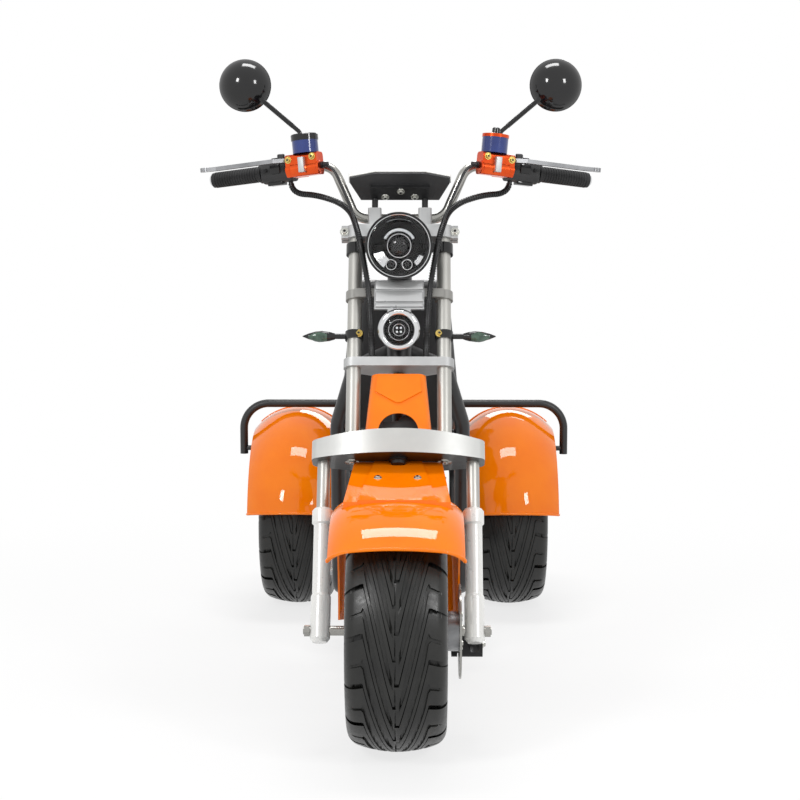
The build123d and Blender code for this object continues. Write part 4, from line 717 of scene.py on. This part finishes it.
def stuffed(node, base, half_u, half_v, corner, inset, ribs):
    """A cushion on its base plane, with its seam, stitches and piping."""
    base = Vector(base)
    right = Vector((1, 0, 0))
    along = base.cross(right)
    low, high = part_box(node)
    middle = (low + high) / 2
    block = bmesh.new()
    block.from_mesh(nodes[node].data)
    block.transform(nodes[node].matrix_world)
    bmesh.ops.remove_doubles(block, verts=block.verts, dist=1e-5)
    bottom = max((v.co - middle).dot(base) for v in block.verts)
    for v in block.verts:
        off = v.co - middle
        deep = off.dot(base)
        v.co = middle + (off - base * deep) * BLOCK_WIDE + base * (bottom - (bottom - deep) * BLOCK_TALL)
    start = bpy.data.meshes.new(node + "_foam")
    block.to_mesh(start)
    block.free()
    piece = bpy.data.objects.new(node + "_foam", start)
    scene.collection.objects.link(piece)
    grid = piece.modifiers.new("grid", "REMESH")
    grid.mode = "VOXEL"
    grid.voxel_size = BLOCK_GRID
    baked(piece)
    puffed(piece, middle, base, bottom)
    finer = piece.modifiers.new("finer", "SUBSURF")
    finer.levels = finer.render_levels = 1
    mesh = baked(piece)
    normals = [v.normal.copy() for v in mesh.vertices]
    for v, normal in zip(mesh.vertices, normals):
        off = v.co - middle
        u, w = off.dot(right), off.dot(along)
        border = rounded_box(u, w, half_u, half_v, corner) + inset
        sink = SEAM_DEEP * math.exp(-((border / SEAM_WIDE) ** 2))
        if border < 0:
            sink = max([sink] + [RIB_DEEP * math.exp(-(((w - rib) / RIB_WIDE) ** 2)) for rib in ribs])
        v.co -= normal * sink * max(0.0, -normal.dot(base))
    skin = BVHTree.FromPolygons([v.co for v in mesh.vertices], [tuple(p.vertices) for p in mesh.polygons])
    mesh.materials.clear()
    mesh.materials.append(vinyl)
    mesh.shade_smooth()
    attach(piece, "chassis")
    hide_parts(node)
    rows = []
    for shift in (-STITCH_OFF, STITCH_OFF):
        outline = seam_line(half_u, half_v, corner, inset + shift)
        walked, last = 0.0, outline[0]
        for i, spot in enumerate(outline):
            walked += (spot - last).length
            last = spot
            if walked >= STITCH_PITCH:
                walked = 0.0
                tangent = (outline[(i + 1) % SEAM_STEPS] - outline[i - 1]).normalized()
                hit, normal = skin.ray_cast(middle + right * spot.x + along * spot.y - base * 0.2, base)[:2]
                if hit:
                    way = right * tangent.x + along * tangent.y
                    rows.append((hit + normal * 0.0002, way - normal * way.dot(normal)))
    row_of(stitch_kit, node + "_stitches", "chassis", rows, 0.0008, 3.2, thread)
    cord = []
    for c, s in round_of(PIPING_STEPS):
        out = right * c + along * s
        hit = skin.ray_cast(middle + out * 0.4 - base * bottom * PIPING_LOW, -out)[0]
        if hit:
            cord.append(hit)
    fitted(tube_mesh(node + "_piping", [cord], 0.0026, 8, closed=True), vinyl, "chassis", smooth=60)


stuffed("seat_cushion", (0, 0, -1), 0.145, 0.135, 0.06, 0.034, (-0.03, 0.03))
stuffed("pillion_cushion", (0, 0, -1), 0.135, 0.092, 0.05, 0.03, ())
stuffed("backrest", (0, 0.9945, -0.1045), 0.125, 0.09, 0.045, 0.028, ())

# The tail lamp: a lens moulded in red plastic, fixed under the rear deck and ribbed inside to spread
# the light.
tail_red = finish_of("tail_red", (150, 8, 10), (186, 14, 16), (0.08, 0.14), (200, 0.00002, 0.0), coat=0.5)
ribbing = tail_red.node_tree
ribs = add(ribbing, "ShaderNodeTexWave", Vector=add(ribbing, "ShaderNodeTexCoord").outputs["Object"], Scale=50)
ribbing.links.new(ribs.outputs["Fac"], ribbing.nodes["bump"].inputs["Height"])
ribbing.nodes["bump"].inputs["Distance"].default_value = 0.0005
dress(tail_red, "tail_lamp")

# The front axle and the brake: a ground steel axle, a drilled disc on the hub with its screws and a black
# caliper behind the left leg.
DISC_BOLT_R = 0.034
plated_steel = finish_of("plated_steel", (150, 149, 145), (168, 167, 162), (0.2, 0.28), (300, 0.000008, 0.0),
                         metallic=0.9)
dress(plated_steel, "front_axle", "front_disc", "handlebar", "mudguard_stays")
dress(black_zinc, "front_caliper")
disc_face, caliper_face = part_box("front_disc")[1].x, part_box("front_caliper")[1].x
screws("disc_screws", "front_wheel",
       [((disc_face, FRONT_AXLE_Y + DISC_BOLT_R * math.cos(a), TREAD_R + DISC_BOLT_R * math.sin(a)), (1, 0, 0))
        for a in (math.radians(60 * k + 30) for k in range(6))], 0.0045, 0.004, zinc)
screws("caliper_screws", "steering",
       [((caliper_face, y, 0.2), (1, 0, 0)) for y in (-0.645, -0.605)], 0.006, 0.006, zinc)

# The fork: silver lower legs and crown, plated stanchions and upper tubes, clamped by the crown, the
# middle clamp and the top yoke. The crown is satin silver, with painted shade in near black on its underside.
FORK_BACK, FORK_UP = Vector((0, 0.89879, -0.43837)), Vector((0, 0.43837, 0.89879))
UPPER_X = 0.097


def on_fork(x, back, s):
    """A point by its stations on the raked fork: across, behind the legs' plane and up from the axle."""
    return Vector((x, FRONT_AXLE_Y, TREAD_R)) + FORK_BACK * back + FORK_UP * s


pearl_silver = finish_of("pearl_silver", (232, 232, 229), (239, 239, 236), (0.26, 0.34), (700, 0.00001, 0.0),
                         metallic=0.12, coat=0.3)
crown_silver_painted_shade = finish_of("crown_silver_painted_shade", (188, 189, 187), (200, 201, 198), (0.28, 0.36), (700, 0.00001, 0.0),
                         metallic=0.25, coat=0.2)
upper_steel = finish_of("upper_steel", (172, 171, 166), (188, 187, 182), (0.38, 0.42), (300, 0.000001, 0.0),
                        metallic=0.8, patches=5)
# Painted shade: the crown's downward-facing surfaces turn near black (34), standing in for the shade under the crown.
crown_tree = crown_silver_painted_shade.node_tree
crown_way = add(crown_tree, "ShaderNodeSeparateXYZ", in_0=add(crown_tree, "ShaderNodeTexCoord").outputs["Normal"])
under = add(crown_tree, "ShaderNodeMapRange", Value=crown_way.outputs["Z"], From_Min=-0.75, From_Max=-0.55)
crown_painted_shade = add(crown_tree, "ShaderNodeMix", {"data_type": "RGBA"}, Factor=under.outputs["Result"],
                A=srgb((34, 34, 34)), B=crown_tree.nodes["tint"].outputs["Result"])
crown_tree.links.new(crown_painted_shade.outputs["Result"], crown_tree.nodes["Principled BSDF"].inputs["Base Color"])
dress(pearl_silver, "fork_sliders")
dress(crown_silver_painted_shade, "lower_crown")
dress(upper_steel, "fork_tubes")
dress(brushed_alloy, "mid_clamp", "top_yoke", "bar_clamps")
screws("crown_screws", "steering",
       [(on_fork(side * UPPER_X, -0.012, 0.357), -FORK_UP) for side in SIDES], 0.0065, 0.006, zinc)
fitted(turned_mesh("stem_nut", [(on_fork(0, -0.0235, 0.3572), -FORK_UP, [
    (0, 0), (0, 0.0195), (0.005, 0.0195), (0.006, 0.0165), (0.012, 0.0150), (0.0145, 0.0110), (0.0150, 0)])], 36),
    black_zinc, "steering")
screws("yoke_screws", "steering",
       [(on_fork(side * (UPPER_X + 0.025), -0.013, 0.889), -FORK_BACK) for side in SIDES],
       0.007, 0.006, zinc)
screws("signal_clamp_screws", "steering",
       [(on_fork(side * (UPPER_X - 0.010), -0.0168, 0.644), -FORK_BACK) for side in SIDES],
       0.006, 0.005, brass)

# The front mudguard: an orange steel arch over the tyre and a neck that rises to the crown, held by a
# screw a side, with a rolled lip along its front edge.
LIP_AT, LIP_TOP, LIP_DROP, LIP_HALF, LIP_STEP = math.radians(47.8), 0.275, 0.007, 0.088, 0.011
LIP_CORNER = ((0.132, 0.2345), (0.132, 0.239), (0.128, 0.2455), (0.118, 0.254), (0.104, 0.262), (0.088, 0.268))


def landing(node, start, way):
    """Where a straight line first meets a CAD piece, and the way that spot faces."""
    mesh, world_at = nodes[node].data, nodes[node].matrix_world
    tree = BVHTree.FromPolygons([world_at @ v.co for v in mesh.vertices], [tuple(p.vertices) for p in mesh.polygons])
    hit, normal = tree.ray_cast(Vector(start), Vector(way).normalized())[:2]
    return hit, -normal if normal.dot(Vector(way)) > 0 else normal


screws("mudguard_screws", "steering",
       [landing("front_mudguard", (side * 0.0405, -1.2, 0.541), (0, 1, 0)) for side in SIDES],
       0.0055, 0.004, zinc, sides=20)
lip = [(-x, r) for x, r in LIP_CORNER]
lip += [(LIP_STEP * i, LIP_TOP - LIP_DROP * (LIP_STEP * i / LIP_HALF) ** 2) for i in range(-7, 8)]
lip += reversed(LIP_CORNER)
fitted(tube_mesh("mudguard_lip", [[round_wheel(x, FRONT_AXLE_Y, r, LIP_AT) for x, r in lip]], 0.0032, 8),
       gloss_orange, "steering", smooth=60)

# The horn, and the stem behind it, sit dark under the cowl's arch: pressed steel in a dull black with a
# painted highlight along its edges, bolted to the crown.
# Painted highlight: this dull black's pale edges (112) stand in for the light catching the horn's edges.
dull_black = finish_of("dull_black", (30, 30, 31), (46, 46, 47), (0.45, 0.6), (700, 0.0001, 0.4),
                       worn_and_glinting_edges=((112, 112, 113), 0.002, 0.9))
dress(dull_black, "horn", "steering_stem")

# The handlebar's grips: black rubber sleeves with a raised ring every few millimetres, pushed on the bar,
# and a chromed cap in each bar end.
BAR_END = Vector((0.427, -0.150, 1.1632))
BAR_OUT = Vector((0.9227, 0.3731, -0.0966)).normalized()
BAR_FORWARD = Vector((0.3731, -0.9227, 0)).normalized()
BAR_LIFT = BAR_FORWARD.cross(BAR_OUT)


def on_bar(side, forward, up, inward):
    """A point by its stations on a bar end: forward, above and inward along the bar."""
    point = BAR_END + BAR_FORWARD * forward + BAR_LIFT * up - BAR_OUT * inward
    return Vector((side * point.x, point.y, point.z))


def bar_axes(side):
    """A bar end's own directions: forward, up and outward."""
    return [Vector((side * way.x, way.y, way.z)) for way in (BAR_FORWARD, BAR_LIFT, BAR_OUT)]


def turned_on_bars(name, forward, up, inward, axis, profile, segments, material):
    """The same turned part on both bar ends, along one of the bar's directions or against it."""
    fitted(turned_mesh(name, [(on_bar(side, forward, up, inward), axis(*bar_axes(side)), profile) for side in SIDES],
                       segments), material, "steering")


grip_rubber = finish_of("grip_rubber", (30, 30, 31), (44, 44, 45), (0.5, 0.66), (900, 0.0002, 0.5),
                        Specular_IOR_Level=0.35)
gloss_black = finish_of("gloss_black", (14, 14, 15), (22, 22, 23), (0.08, 0.14), (200, 0.00001, 0.0))
dress(grip_rubber, "grips")
row_of(collar_kit, "grip_rings", "steering",
       [(on_bar(side, 0, 0, 0.004 + 0.0065 * i), bar_axes(side)[2]) for side in SIDES for i in range(17)],
       0.0181, 0.0036, grip_rubber)
turned_on_bars("bar_end_caps", 0, 0, -0.0035, lambda forward, up, out: out,
               [(0, 0), (0, 0.0125), (0.003, 0.0135), (0.006, 0.0125), (0.008, 0.009), (0.009, 0)],
               48, bright_chrome)

# Switch pods: two black moulded halves a side, screwed together round the bar from the front, with a
# raised rocker above, below and in front.
dress(grained_black, "switch_pods")
screws("pod_screws", "steering",
       [(on_bar(side, 0.022, 0.004, inward), bar_axes(side)[0]) for side in SIDES for inward in (0.142, 0.190)],
       0.0032, 0.003, black_zinc, sides=16)


def block_mesh(name, blocks, bevel):
    """Straight blocks with rounded edges; each is (centre, three axes, three half sizes)."""
    solid = bmesh.new()
    for centre, axes, halves in blocks:
        turn = Matrix(axes).transposed().to_4x4()
        grow = Matrix.Diagonal((*[2 * h for h in halves], 1))
        bmesh.ops.create_cube(solid, size=1.0, matrix=Matrix.Translation(centre) @ turn @ grow)
    bmesh.ops.bevel(solid, geom=solid.edges, offset=bevel, segments=3, profile=0.5, affect="EDGES")
    bmesh.ops.recalc_face_normals(solid, faces=solid.faces)
    mesh = bpy.data.meshes.new(name)
    solid.to_mesh(mesh)
    solid.free()
    return mesh


fitted(block_mesh("pod_switches", [
    (on_bar(side, forward, up, inward), bar_axes(side), halves)
    for side in SIDES for forward, up, inward, halves in (
        (0.004, 0.0262, 0.172, (0.013, 0.0045, 0.016)), (0.0, -0.0262, 0.158, (0.012, 0.0040, 0.019)),
        (0.0228, 0.006, 0.166, (0.0026, 0.0110, 0.0125)))], 0.0014), gloss_black, "steering")

# Brake masters: anodised bodies clamped to the bar with a silver cover in front, blue fluid pots with
# screwed caps on top, and alloy levers. One pot carries a black lid, the other a black post.
POT_FORWARD, POT_IN, CAP_SCREW_R = 0.033, 0.252, 0.020
anodised_red = finish_of("anodised_red", (196, 58, 18), (232, 92, 38), (0.16, 0.26), (600, 0.00002, 0.1),
                         metallic=0.85, worn_and_glinting_edges=((232, 150, 104), 0.0012, 0.5))
fluid_blue = finish_of("fluid_blue", (26, 42, 104), (44, 66, 138), (0.12, 0.2), (300, 0.00001, 0.0), coat=0.2)
lever_alloy = finish_of("lever_alloy", (128, 129, 131), (160, 161, 163), (0.28, 0.4), (700, 0.00002, 0.1),
                        metallic=0.9)
dress(anodised_red, "brake_masters")
dress(fluid_blue, "reservoirs")
dress(lever_alloy, "brake_levers")
fitted(block_mesh("master_covers", [(on_bar(side, 0.0558, 0.004, 0.250), bar_axes(side), (0.006, 0.017, 0.007))
                                    for side in SIDES], 0.0016), brushed_alloy, "steering")
turned_on_bars("master_barrels", 0.040, -0.004, 0.2045, lambda forward, up, out: -out,
               [(0, 0), (0, 0.0095), (0.002, 0.0125), (0.012, 0.0125), (0.014, 0.0150), (0.052, 0.0150),
                (0.054, 0.0128), (0.076, 0.0128), (0.078, 0.0145), (0.0815, 0.0145), (0.083, 0.0125), (0.083, 0)],
               36, anodised_red)
screws("master_screws", "steering",
       [(on_bar(side, 0.0500, up, inward), bar_axes(side)[0]) for side in SIDES
        for inward, up in ((0.274, 0.020), (0.215, 0.018))], 0.0055, 0.0055, brass)
screws("pot_cap_screws", "steering",
       [(on_bar(side, POT_FORWARD + CAP_SCREW_R * math.cos(a), 0.0722 if side < 0 else 0.071,
                POT_IN + CAP_SCREW_R * math.sin(a)), bar_axes(side)[1])
        for side in SIDES for a in (math.radians(45), math.radians(225))], 0.0028, 0.002, zinc, sides=16)
fitted(turned_mesh("pot_lids", [
    (on_bar(-1, POT_FORWARD, 0.0640, POT_IN), bar_axes(-1)[1],
     [(-0.006, 0.0293), (-0.006, 0.0306), (0.0065, 0.0306), (0.0080, 0.0292), (0.0080, 0)]),
    (on_bar(1, POT_FORWARD, 0.0712, POT_IN), bar_axes(1)[1],
     [(0, 0), (0, 0.0095), (0.0135, 0.0088), (0.0148, 0.0075), (0.0148, 0)]),
]), gloss_black, "steering")
turned_on_bars("hose_ferrules", POT_FORWARD, 0, 0.2853, lambda forward, up, out: -out,
               [(0, 0), (0, 0.0075), (0.007, 0.0075), (0.007, 0.0055), (0.019, 0.0052), (0.0195, 0)],
               48, black_zinc)
turned_on_bars("lever_adjusters", 0.046, 0.0231, 0.196, lambda forward, up, out: up,
               [(0, 0), (0, 0.0085), (0.009, 0.0085), (0.0105, 0.0070), (0.0105, 0)],
               24, dull_black)

# Mirrors: gloss black domes with a bright glass and a rolled rim, on blackened steel stems with a rolled
# thread that rise from the masters.
MIRROR_X, MIRROR_Y, MIRROR_Z = 0.350, -0.222, 1.372
THREAD_PITCH, THREAD_FROM, THREAD_SHARE = 0.0034, 0.18, 0.70
silvered = finish_of("silvered", (225, 227, 230), (232, 234, 236), (0.01, 0.03), (200, 0.000002, 0.0), metallic=1.0)
dress(gloss_black, "mirrors")
dress(silvered, "mirror_glasses")


def hoop(radius, thick, along=0.0, count=10):
    """A closed round section for a turned ring."""
    ring = [(along + thick * s, radius + thick * c) for c, s in round_of(count)]
    return ring + ring[:1]


fitted(turned_mesh("mirror_rims", [((side * MIRROR_X, MIRROR_Y, MIRROR_Z), (0, 1, 0), hoop(0.0567, 0.0021, 0.0072))
                                   for side in SIDES], 72), gloss_black, "steering")
stem_bend = on_bar(1, 0, 0.020, 0.221) + Vector((0, 0, 0.062))
run = Vector((0.320, -0.234, 1.346)) - stem_bend
threads = []
for side in SIDES:
    for i in range(int(run.length * THREAD_SHARE / THREAD_PITCH)):
        ridge = stem_bend + run * THREAD_FROM + run.normalized() * (THREAD_PITCH * i)
        threads.append(((side * ridge.x, ridge.y, ridge.z), (side * run.x, run.y, run.z)))
row_of(collar_kit, "mirror_threads", "steering", threads, 0.0058, 0.0017, black_zinc)

# The dash: a dark plate that slopes to the rider, with a silver strip round its front edge, a plain
# glass on top and a bracket held by three screws from below.
DASH_AT, DASH_N, DASH_Y = Vector((0, -0.268, 1.148)), Vector((0, 0.6527, 0.7576)), Vector((0, 0.7576, -0.6527))
dash_black = finish_of("dash_black", (52, 52, 53), (68, 68, 69), (0.4, 0.55), (420, 0.0002, 0.6))
dress(dash_black, "dash")


def on_dash(x, y, lift):
    """A point on the dash plate."""
    return DASH_AT + Vector((x, 0, 0)) + DASH_Y * y + DASH_N * lift


strips = []
dash_edge = [on_dash(x, y, 0.0025) for x, y in ((-0.111, -0.010), (-0.111, -0.028), (-0.056, -0.043),
                                                (0.056, -0.043), (0.111, -0.028), (0.111, -0.010))]
for start, end in zip(dash_edge, dash_edge[1:]):
    way = (end - start).normalized()
    out = way.cross(DASH_N)
    strips.append(((start + end) / 2 + out * 0.0012, (way, out, DASH_N),
                   ((end - start).length / 2 + 0.0012, 0.0014, 0.0055)))
fitted(block_mesh("dash_strip", strips, 0.0008), pearl_silver, "steering")
fitted(block_mesh("dash_glass", [(on_dash(0, 0.003, 0.0076), (Vector((1, 0, 0)), DASH_Y, DASH_N),
                                  (0.072, 0.029, 0.0010))], 0.0007), gloss_black, "steering")
screws("dash_screws", "steering",
       [(on_dash(x, y, -0.017), -DASH_N) for x, y in ((-0.033, 0.022), (0.033, 0.022), (0.002, 0.004))],
       0.006, 0.005, zinc)

# The headlamp: a gloss black can with a chrome ring behind a clear lens; inside, a black bowl, a
# projector in the middle, a pale arc of running light over it, two small lenses below and chrome flashes.
LAMP = Vector((0, -0.41897, 1.01199))
Y_IN = Vector((0, 1, 0))
FLASH_STEPS = 12
lamp_glass = bpy.data.materials.new("lamp_glass")
lamp_glass.use_nodes = True
glass_tree = lamp_glass.node_tree
glass_skin = glass_tree.nodes["Principled BSDF"].inputs
glass_skin["Base Color"].default_value = (1, 1, 1, 1)
glass_skin["Transmission Weight"].default_value = 1.0
glass_skin["IOR"].default_value = 1.2
haze = add(glass_tree, "ShaderNodeGroup", {"node_tree": mottle}, Scale=30, Low=0.0, High=0.03)
glass_tree.links.new(haze.outputs["Value"], glass_skin["Roughness"])
bowl_black = finish_of("bowl_black", (30, 30, 31), (48, 48, 49), (0.16, 0.26), (300, 0.00002, 0.1),
                       Specular_IOR_Level=0.3)
drl_white = finish_of("drl_white", (214, 218, 222), (228, 231, 234), (0.2, 0.3), (300, 0.00002, 0.1))
dress(gloss_black, "headlamp_shell", "turn_signals")
dress(lamp_glass, "headlamp_lens", "lower_lamp_lens")


def round_lamp(radius, degrees, depth):
    """A point round the lamp's axis."""
    a = math.radians(degrees)
    return LAMP + Vector((radius * math.cos(a), depth, radius * math.sin(a)))


fitted(turned_mesh("headlamp_bowl", [(LAMP, Y_IN, [
    (0.030, 0), (0.028, 0.030), (0.020, 0.050), (0.006, 0.0615), (0.006, 0.0625), (0.022, 0.0600),
    (0.033, 0.034), (0.035, 0)])], 72), bowl_black, "steering")
bright = [(LAMP, Y_IN, hoop(0.0667, 0.0012, -0.0096)), (LAMP, Y_IN, hoop(0.0252, 0.0016, 0.006))]
domes = [(LAMP, Y_IN, [(-0.004, 0), (-0.003, 0.009), (0.001, 0.017), (0.007, 0.0222), (0.014, 0.0238),
                       (0.031, 0.0238), (0.031, 0)])]
for side in SIDES:
    pod = LAMP + Vector((side * 0.0172, 0.006, -0.0405))
    bright.append((pod, Y_IN, hoop(0.0108, 0.0013, 0.004)))
    domes.append((pod, Y_IN, [(0, 0), (0.0008, 0.004), (0.003, 0.0080), (0.006, 0.0098), (0.022, 0.0098), (0.022, 0)]))
fitted(turned_mesh("headlamp_eyes", domes, 48), gloss_black, "steering")
fitted(turned_mesh("headlamp_rings", bright, 72), bright_chrome, "steering")
running_arc = [round_lamp(0.0340, 26 + 128 * i / 28, 0.012) for i in range(29)]
fitted(tube_mesh("headlamp_drl", [running_arc], 0.0032, 12), drl_white, "steering", smooth=60)
flash_points, flash_faces = [], []
for first, last, inner, outer in ((64, 118, 0.0500, 0.0575), (198, 234, 0.0345, 0.0570), (312, 336, 0.0440, 0.0570)):
    base = len(flash_points)
    for i in range(FLASH_STEPS + 1):
        flash_points += [round_lamp(r, first + (last - first) * i / FLASH_STEPS, depth) for r, depth in (
            (inner, 0.0165), (outer, 0.0075), (outer, 0.0095), (inner, 0.0185))]
    for i in range(FLASH_STEPS):
        a, b = base + 4 * i, base + 4 * (i + 1)
        flash_faces += [(a + k, a + (k + 1) % 4, b + (k + 1) % 4, b + k) for k in range(4)]
    flash_faces += [tuple(end + k for k in range(4)) for end in (base, base + 4 * FLASH_STEPS)]
fitted(solid_of("headlamp_flashes", flash_points, flash_faces), bright_chrome, "steering", smooth=40)
row_of(collar_kit, "headlamp_fins", "steering",
       [(LAMP + Vector((side * (0.030 + 0.0032 * i), 0.017, -0.004)), (1, 0, 0)) for side in SIDES
        for i in range(8)], 0.0095, 0.0012, bowl_black)

# The lamp panel: a silver plate between the lamps with three broad steps pressed into it, held to the
# fork tubes by a strap in bare steel.
STRAP_FROM, STRAP_FULL = 0.0545, 0.0555
panel_silver = finish_of("panel_silver", (194, 195, 195), (210, 211, 211), (0.27, 0.32), (700, 0.000002, 0.0),
                         metallic=0.5, patches=6)
panel_tree = panel_silver.node_tree
panel_at = add(panel_tree, "ShaderNodeSeparateXYZ", in_0=add(panel_tree, "ShaderNodeTexCoord").outputs["Object"])
panel_wide = add(panel_tree, "ShaderNodeMath", {"operation": "ABSOLUTE"}, in_0=panel_at.outputs["X"])
strap = add(panel_tree, "ShaderNodeMapRange", Value=panel_wide.outputs[0], From_Min=STRAP_FROM, From_Max=STRAP_FULL)
panel_mix = add(panel_tree, "ShaderNodeMix", {"data_type": "RGBA"}, Factor=strap.outputs["Result"],
                A=panel_tree.nodes["tint"].outputs["Result"], B=srgb((150, 149, 145)))
panel_tree.links.new(panel_mix.outputs["Result"], panel_tree.nodes["Principled BSDF"].inputs["Base Color"])
dress(panel_silver, "lamp_panel")
fitted(block_mesh("panel_steps", [
    (on_fork(0, -0.0318, s), (Vector((1, 0, 0)), FORK_BACK, FORK_UP), (0.0515, 0.0026, tall))
    for s, tall in ((0.750, 0.0095), (0.7235, 0.0120), (0.7035, 0.0045))], 0.0018),
    panel_silver, "steering")

# The lower lamp: a chromed ring round a small black bowl with two thin rings and a cluster of pale
# diodes behind its lens.
LOWER = on_fork(0, -0.0451, 0.640)
DIODE_R = 0.0058
dish_black = finish_of("dish_black", (8, 8, 9), (20, 20, 21), (0.3, 0.45), (300, 0.00002, 0.1),
                       Specular_IOR_Level=0.1)
dress(bright_chrome, "lower_lamp")
fitted(turned_mesh("lower_lamp_dish", [(LOWER, Y_IN, [
    (0.0054, 0), (0.0054, 0.0272), (0.0045, 0.0316), (0.0076, 0.0316), (0.0076, 0)])], 64),
    dish_black, "steering")
fitted(turned_mesh("lower_lamp_bezel", [(LOWER, Y_IN, section) for section in (
    hoop(0.0380, 0.0056, -0.0030, 16), hoop(0.0215, 0.0009, 0.0046), hoop(0.0122, 0.0008, 0.0046))], 72),
    bright_chrome, "steering")
fitted(turned_mesh("lower_lamp_diodes", [
    (LOWER + Vector((DIODE_R * math.cos(a), 0, DIODE_R * math.sin(a))), Y_IN,
     [(0.0044, 0), (0.0044, 0.0022), (0.0056, 0.0025), (0.0056, 0)])
    for a in (math.radians(90 * n + 45) for n in range(4))], 20), drl_white, "steering")

# Turn signals: slim black plastic pods on stalks clamped to the fork tubes, each with a smoked green
# lens along its front.
SIGNAL = on_fork(0, 0, 0.644)
LENS_STATIONS = ((0.150, 0.0078), (0.156, 0.0098), (0.164, 0.0115), (0.173, 0.0118), (0.182, 0.0104),
                 (0.190, 0.0080), (0.197, 0.0050))
LENS_SPREAD, LENS_TILT, LENS_COLUMNS, LENS_OUT, LENS_IN = 62, -12, 8, 0.0012, -0.0008
smoked_green = finish_of("smoked_green", (38, 60, 48), (80, 106, 90), (0.1, 0.18), (500, 0.00006, 0.4), patches=90,
                         coat=0.3)
lens_points, lens_faces = [], []
row, last = 2 * (LENS_COLUMNS + 1), len(LENS_STATIONS) - 1
for side in SIDES:
    base = len(lens_points)
    for i, (x, r) in enumerate(LENS_STATIONS):
        spread_deg = LENS_SPREAD * math.sin(math.pi * (i + 0.6) / (len(LENS_STATIONS) + 0.2))
        for k in range(LENS_COLUMNS + 1):
            a = math.radians(LENS_TILT + spread_deg * (k - 4) / 4)
            lens_points += [(side * x, SIGNAL.y - reach * math.cos(a), SIGNAL.z + reach * math.sin(a))
                            for reach in (r + LENS_OUT, r + LENS_IN)]
    for i in range(last):
        for k in range(LENS_COLUMNS + 1):
            a = base + i * row + 2 * k
            b = a + row
            if k < LENS_COLUMNS:
                lens_faces += [(a, b, b + 2, a + 2), (a + 1, a + 3, b + 3, b + 1)]
            if k in (0, LENS_COLUMNS):
                lens_faces.append((a, a + 1, b + 1, b))
    for i in (0, last):
        for k in range(LENS_COLUMNS):
            a = base + i * row + 2 * k
            lens_faces.append((a, a + 2, a + 3, a + 1))
fitted(solid_of("signal_lenses", lens_points, lens_faces), smoked_green, "steering", smooth=50)

# Control cables: a corrugated conduit a side from the switch pod, down beside the lamp to the middle
# clamp, and a smooth brake hose from the master that joins it; both black, held all the way.
BAR_MID = Vector((0, -0.273, 1.0722))
WAVE_PITCH = 0.0048
cable_black = finish_of("cable_black", (20, 20, 21), (34, 34, 35), (0.3, 0.44), (900, 0.00006, 0.3),
                        Specular_IOR_Level=0.4)
conduit_route = [
    on_bar(1, 0, -0.0253, 0.192), on_bar(1, 0, -0.052, 0.192), BAR_MID + Vector((0.178, -0.019, 0.052)),
    BAR_MID + Vector((0.112, -0.027, 0.026)), LAMP + Vector((0.090, 0.034, 0.033)),
    LAMP + Vector((0.079, 0.011, -0.017)), on_fork(0.066, -0.036, 0.740), on_fork(0.060, -0.034, 0.653),
    on_fork(0.058, -0.009, 0.626), on_fork(0.058, -0.009, 0.5885)]
hose_route = [
    on_bar(1, 0.033, 0, 0.2853), on_bar(1, 0.033, 0, 0.312), BAR_MID + Vector((0.126, -0.039, 0.066)),
    BAR_MID + Vector((0.100, -0.075, 0.010)), LAMP + Vector((0.084, 0.0225, 0.008))]


def smooth_run(name, route, side):
    """The route's points as one smooth NURBS line, read back as points."""
    line = bpy.data.curves.new(name, "CURVE")
    line.dimensions = "3D"
    line.resolution_u = 24
    run = line.splines.new("NURBS")
    run.points.add(len(route) - 1)
    for knot, point in zip(run.points, route):
        knot.co = (side * point.x, point.y, point.z, 1)
    run.order_u = 3
    run.use_endpoint_u = True
    holder = bpy.data.objects.new(name, line)
    scene.collection.objects.link(holder)
    points = [v.co.copy() for v in worked(holder).vertices]
    bpy.data.objects.remove(holder)
    return points


conduits = [smooth_run("conduit_run", conduit_route, side) for side in SIDES]
hoses = [smooth_run("hose_run", hose_route, side) for side in SIDES]
fitted(tube_mesh("conduit_cores", conduits, 0.0055, 12), cable_black, "steering", smooth=60,
       stands_for="control_cables")
fitted(tube_mesh("brake_hoses", hoses, 0.0032, 10), cable_black, "steering", smooth=60)
waves = []
for points in conduits:
    walked = 0.0
    for before, after in zip(points, points[1:]):
        walked += (after - before).length
        if walked >= WAVE_PITCH:
            walked = 0.0
            waves.append((after, after - before))
row_of(collar_kit, "conduit_waves", "steering", waves, 0.0068, 0.0027, cable_black)

# The bounds of the finished model.
low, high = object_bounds()
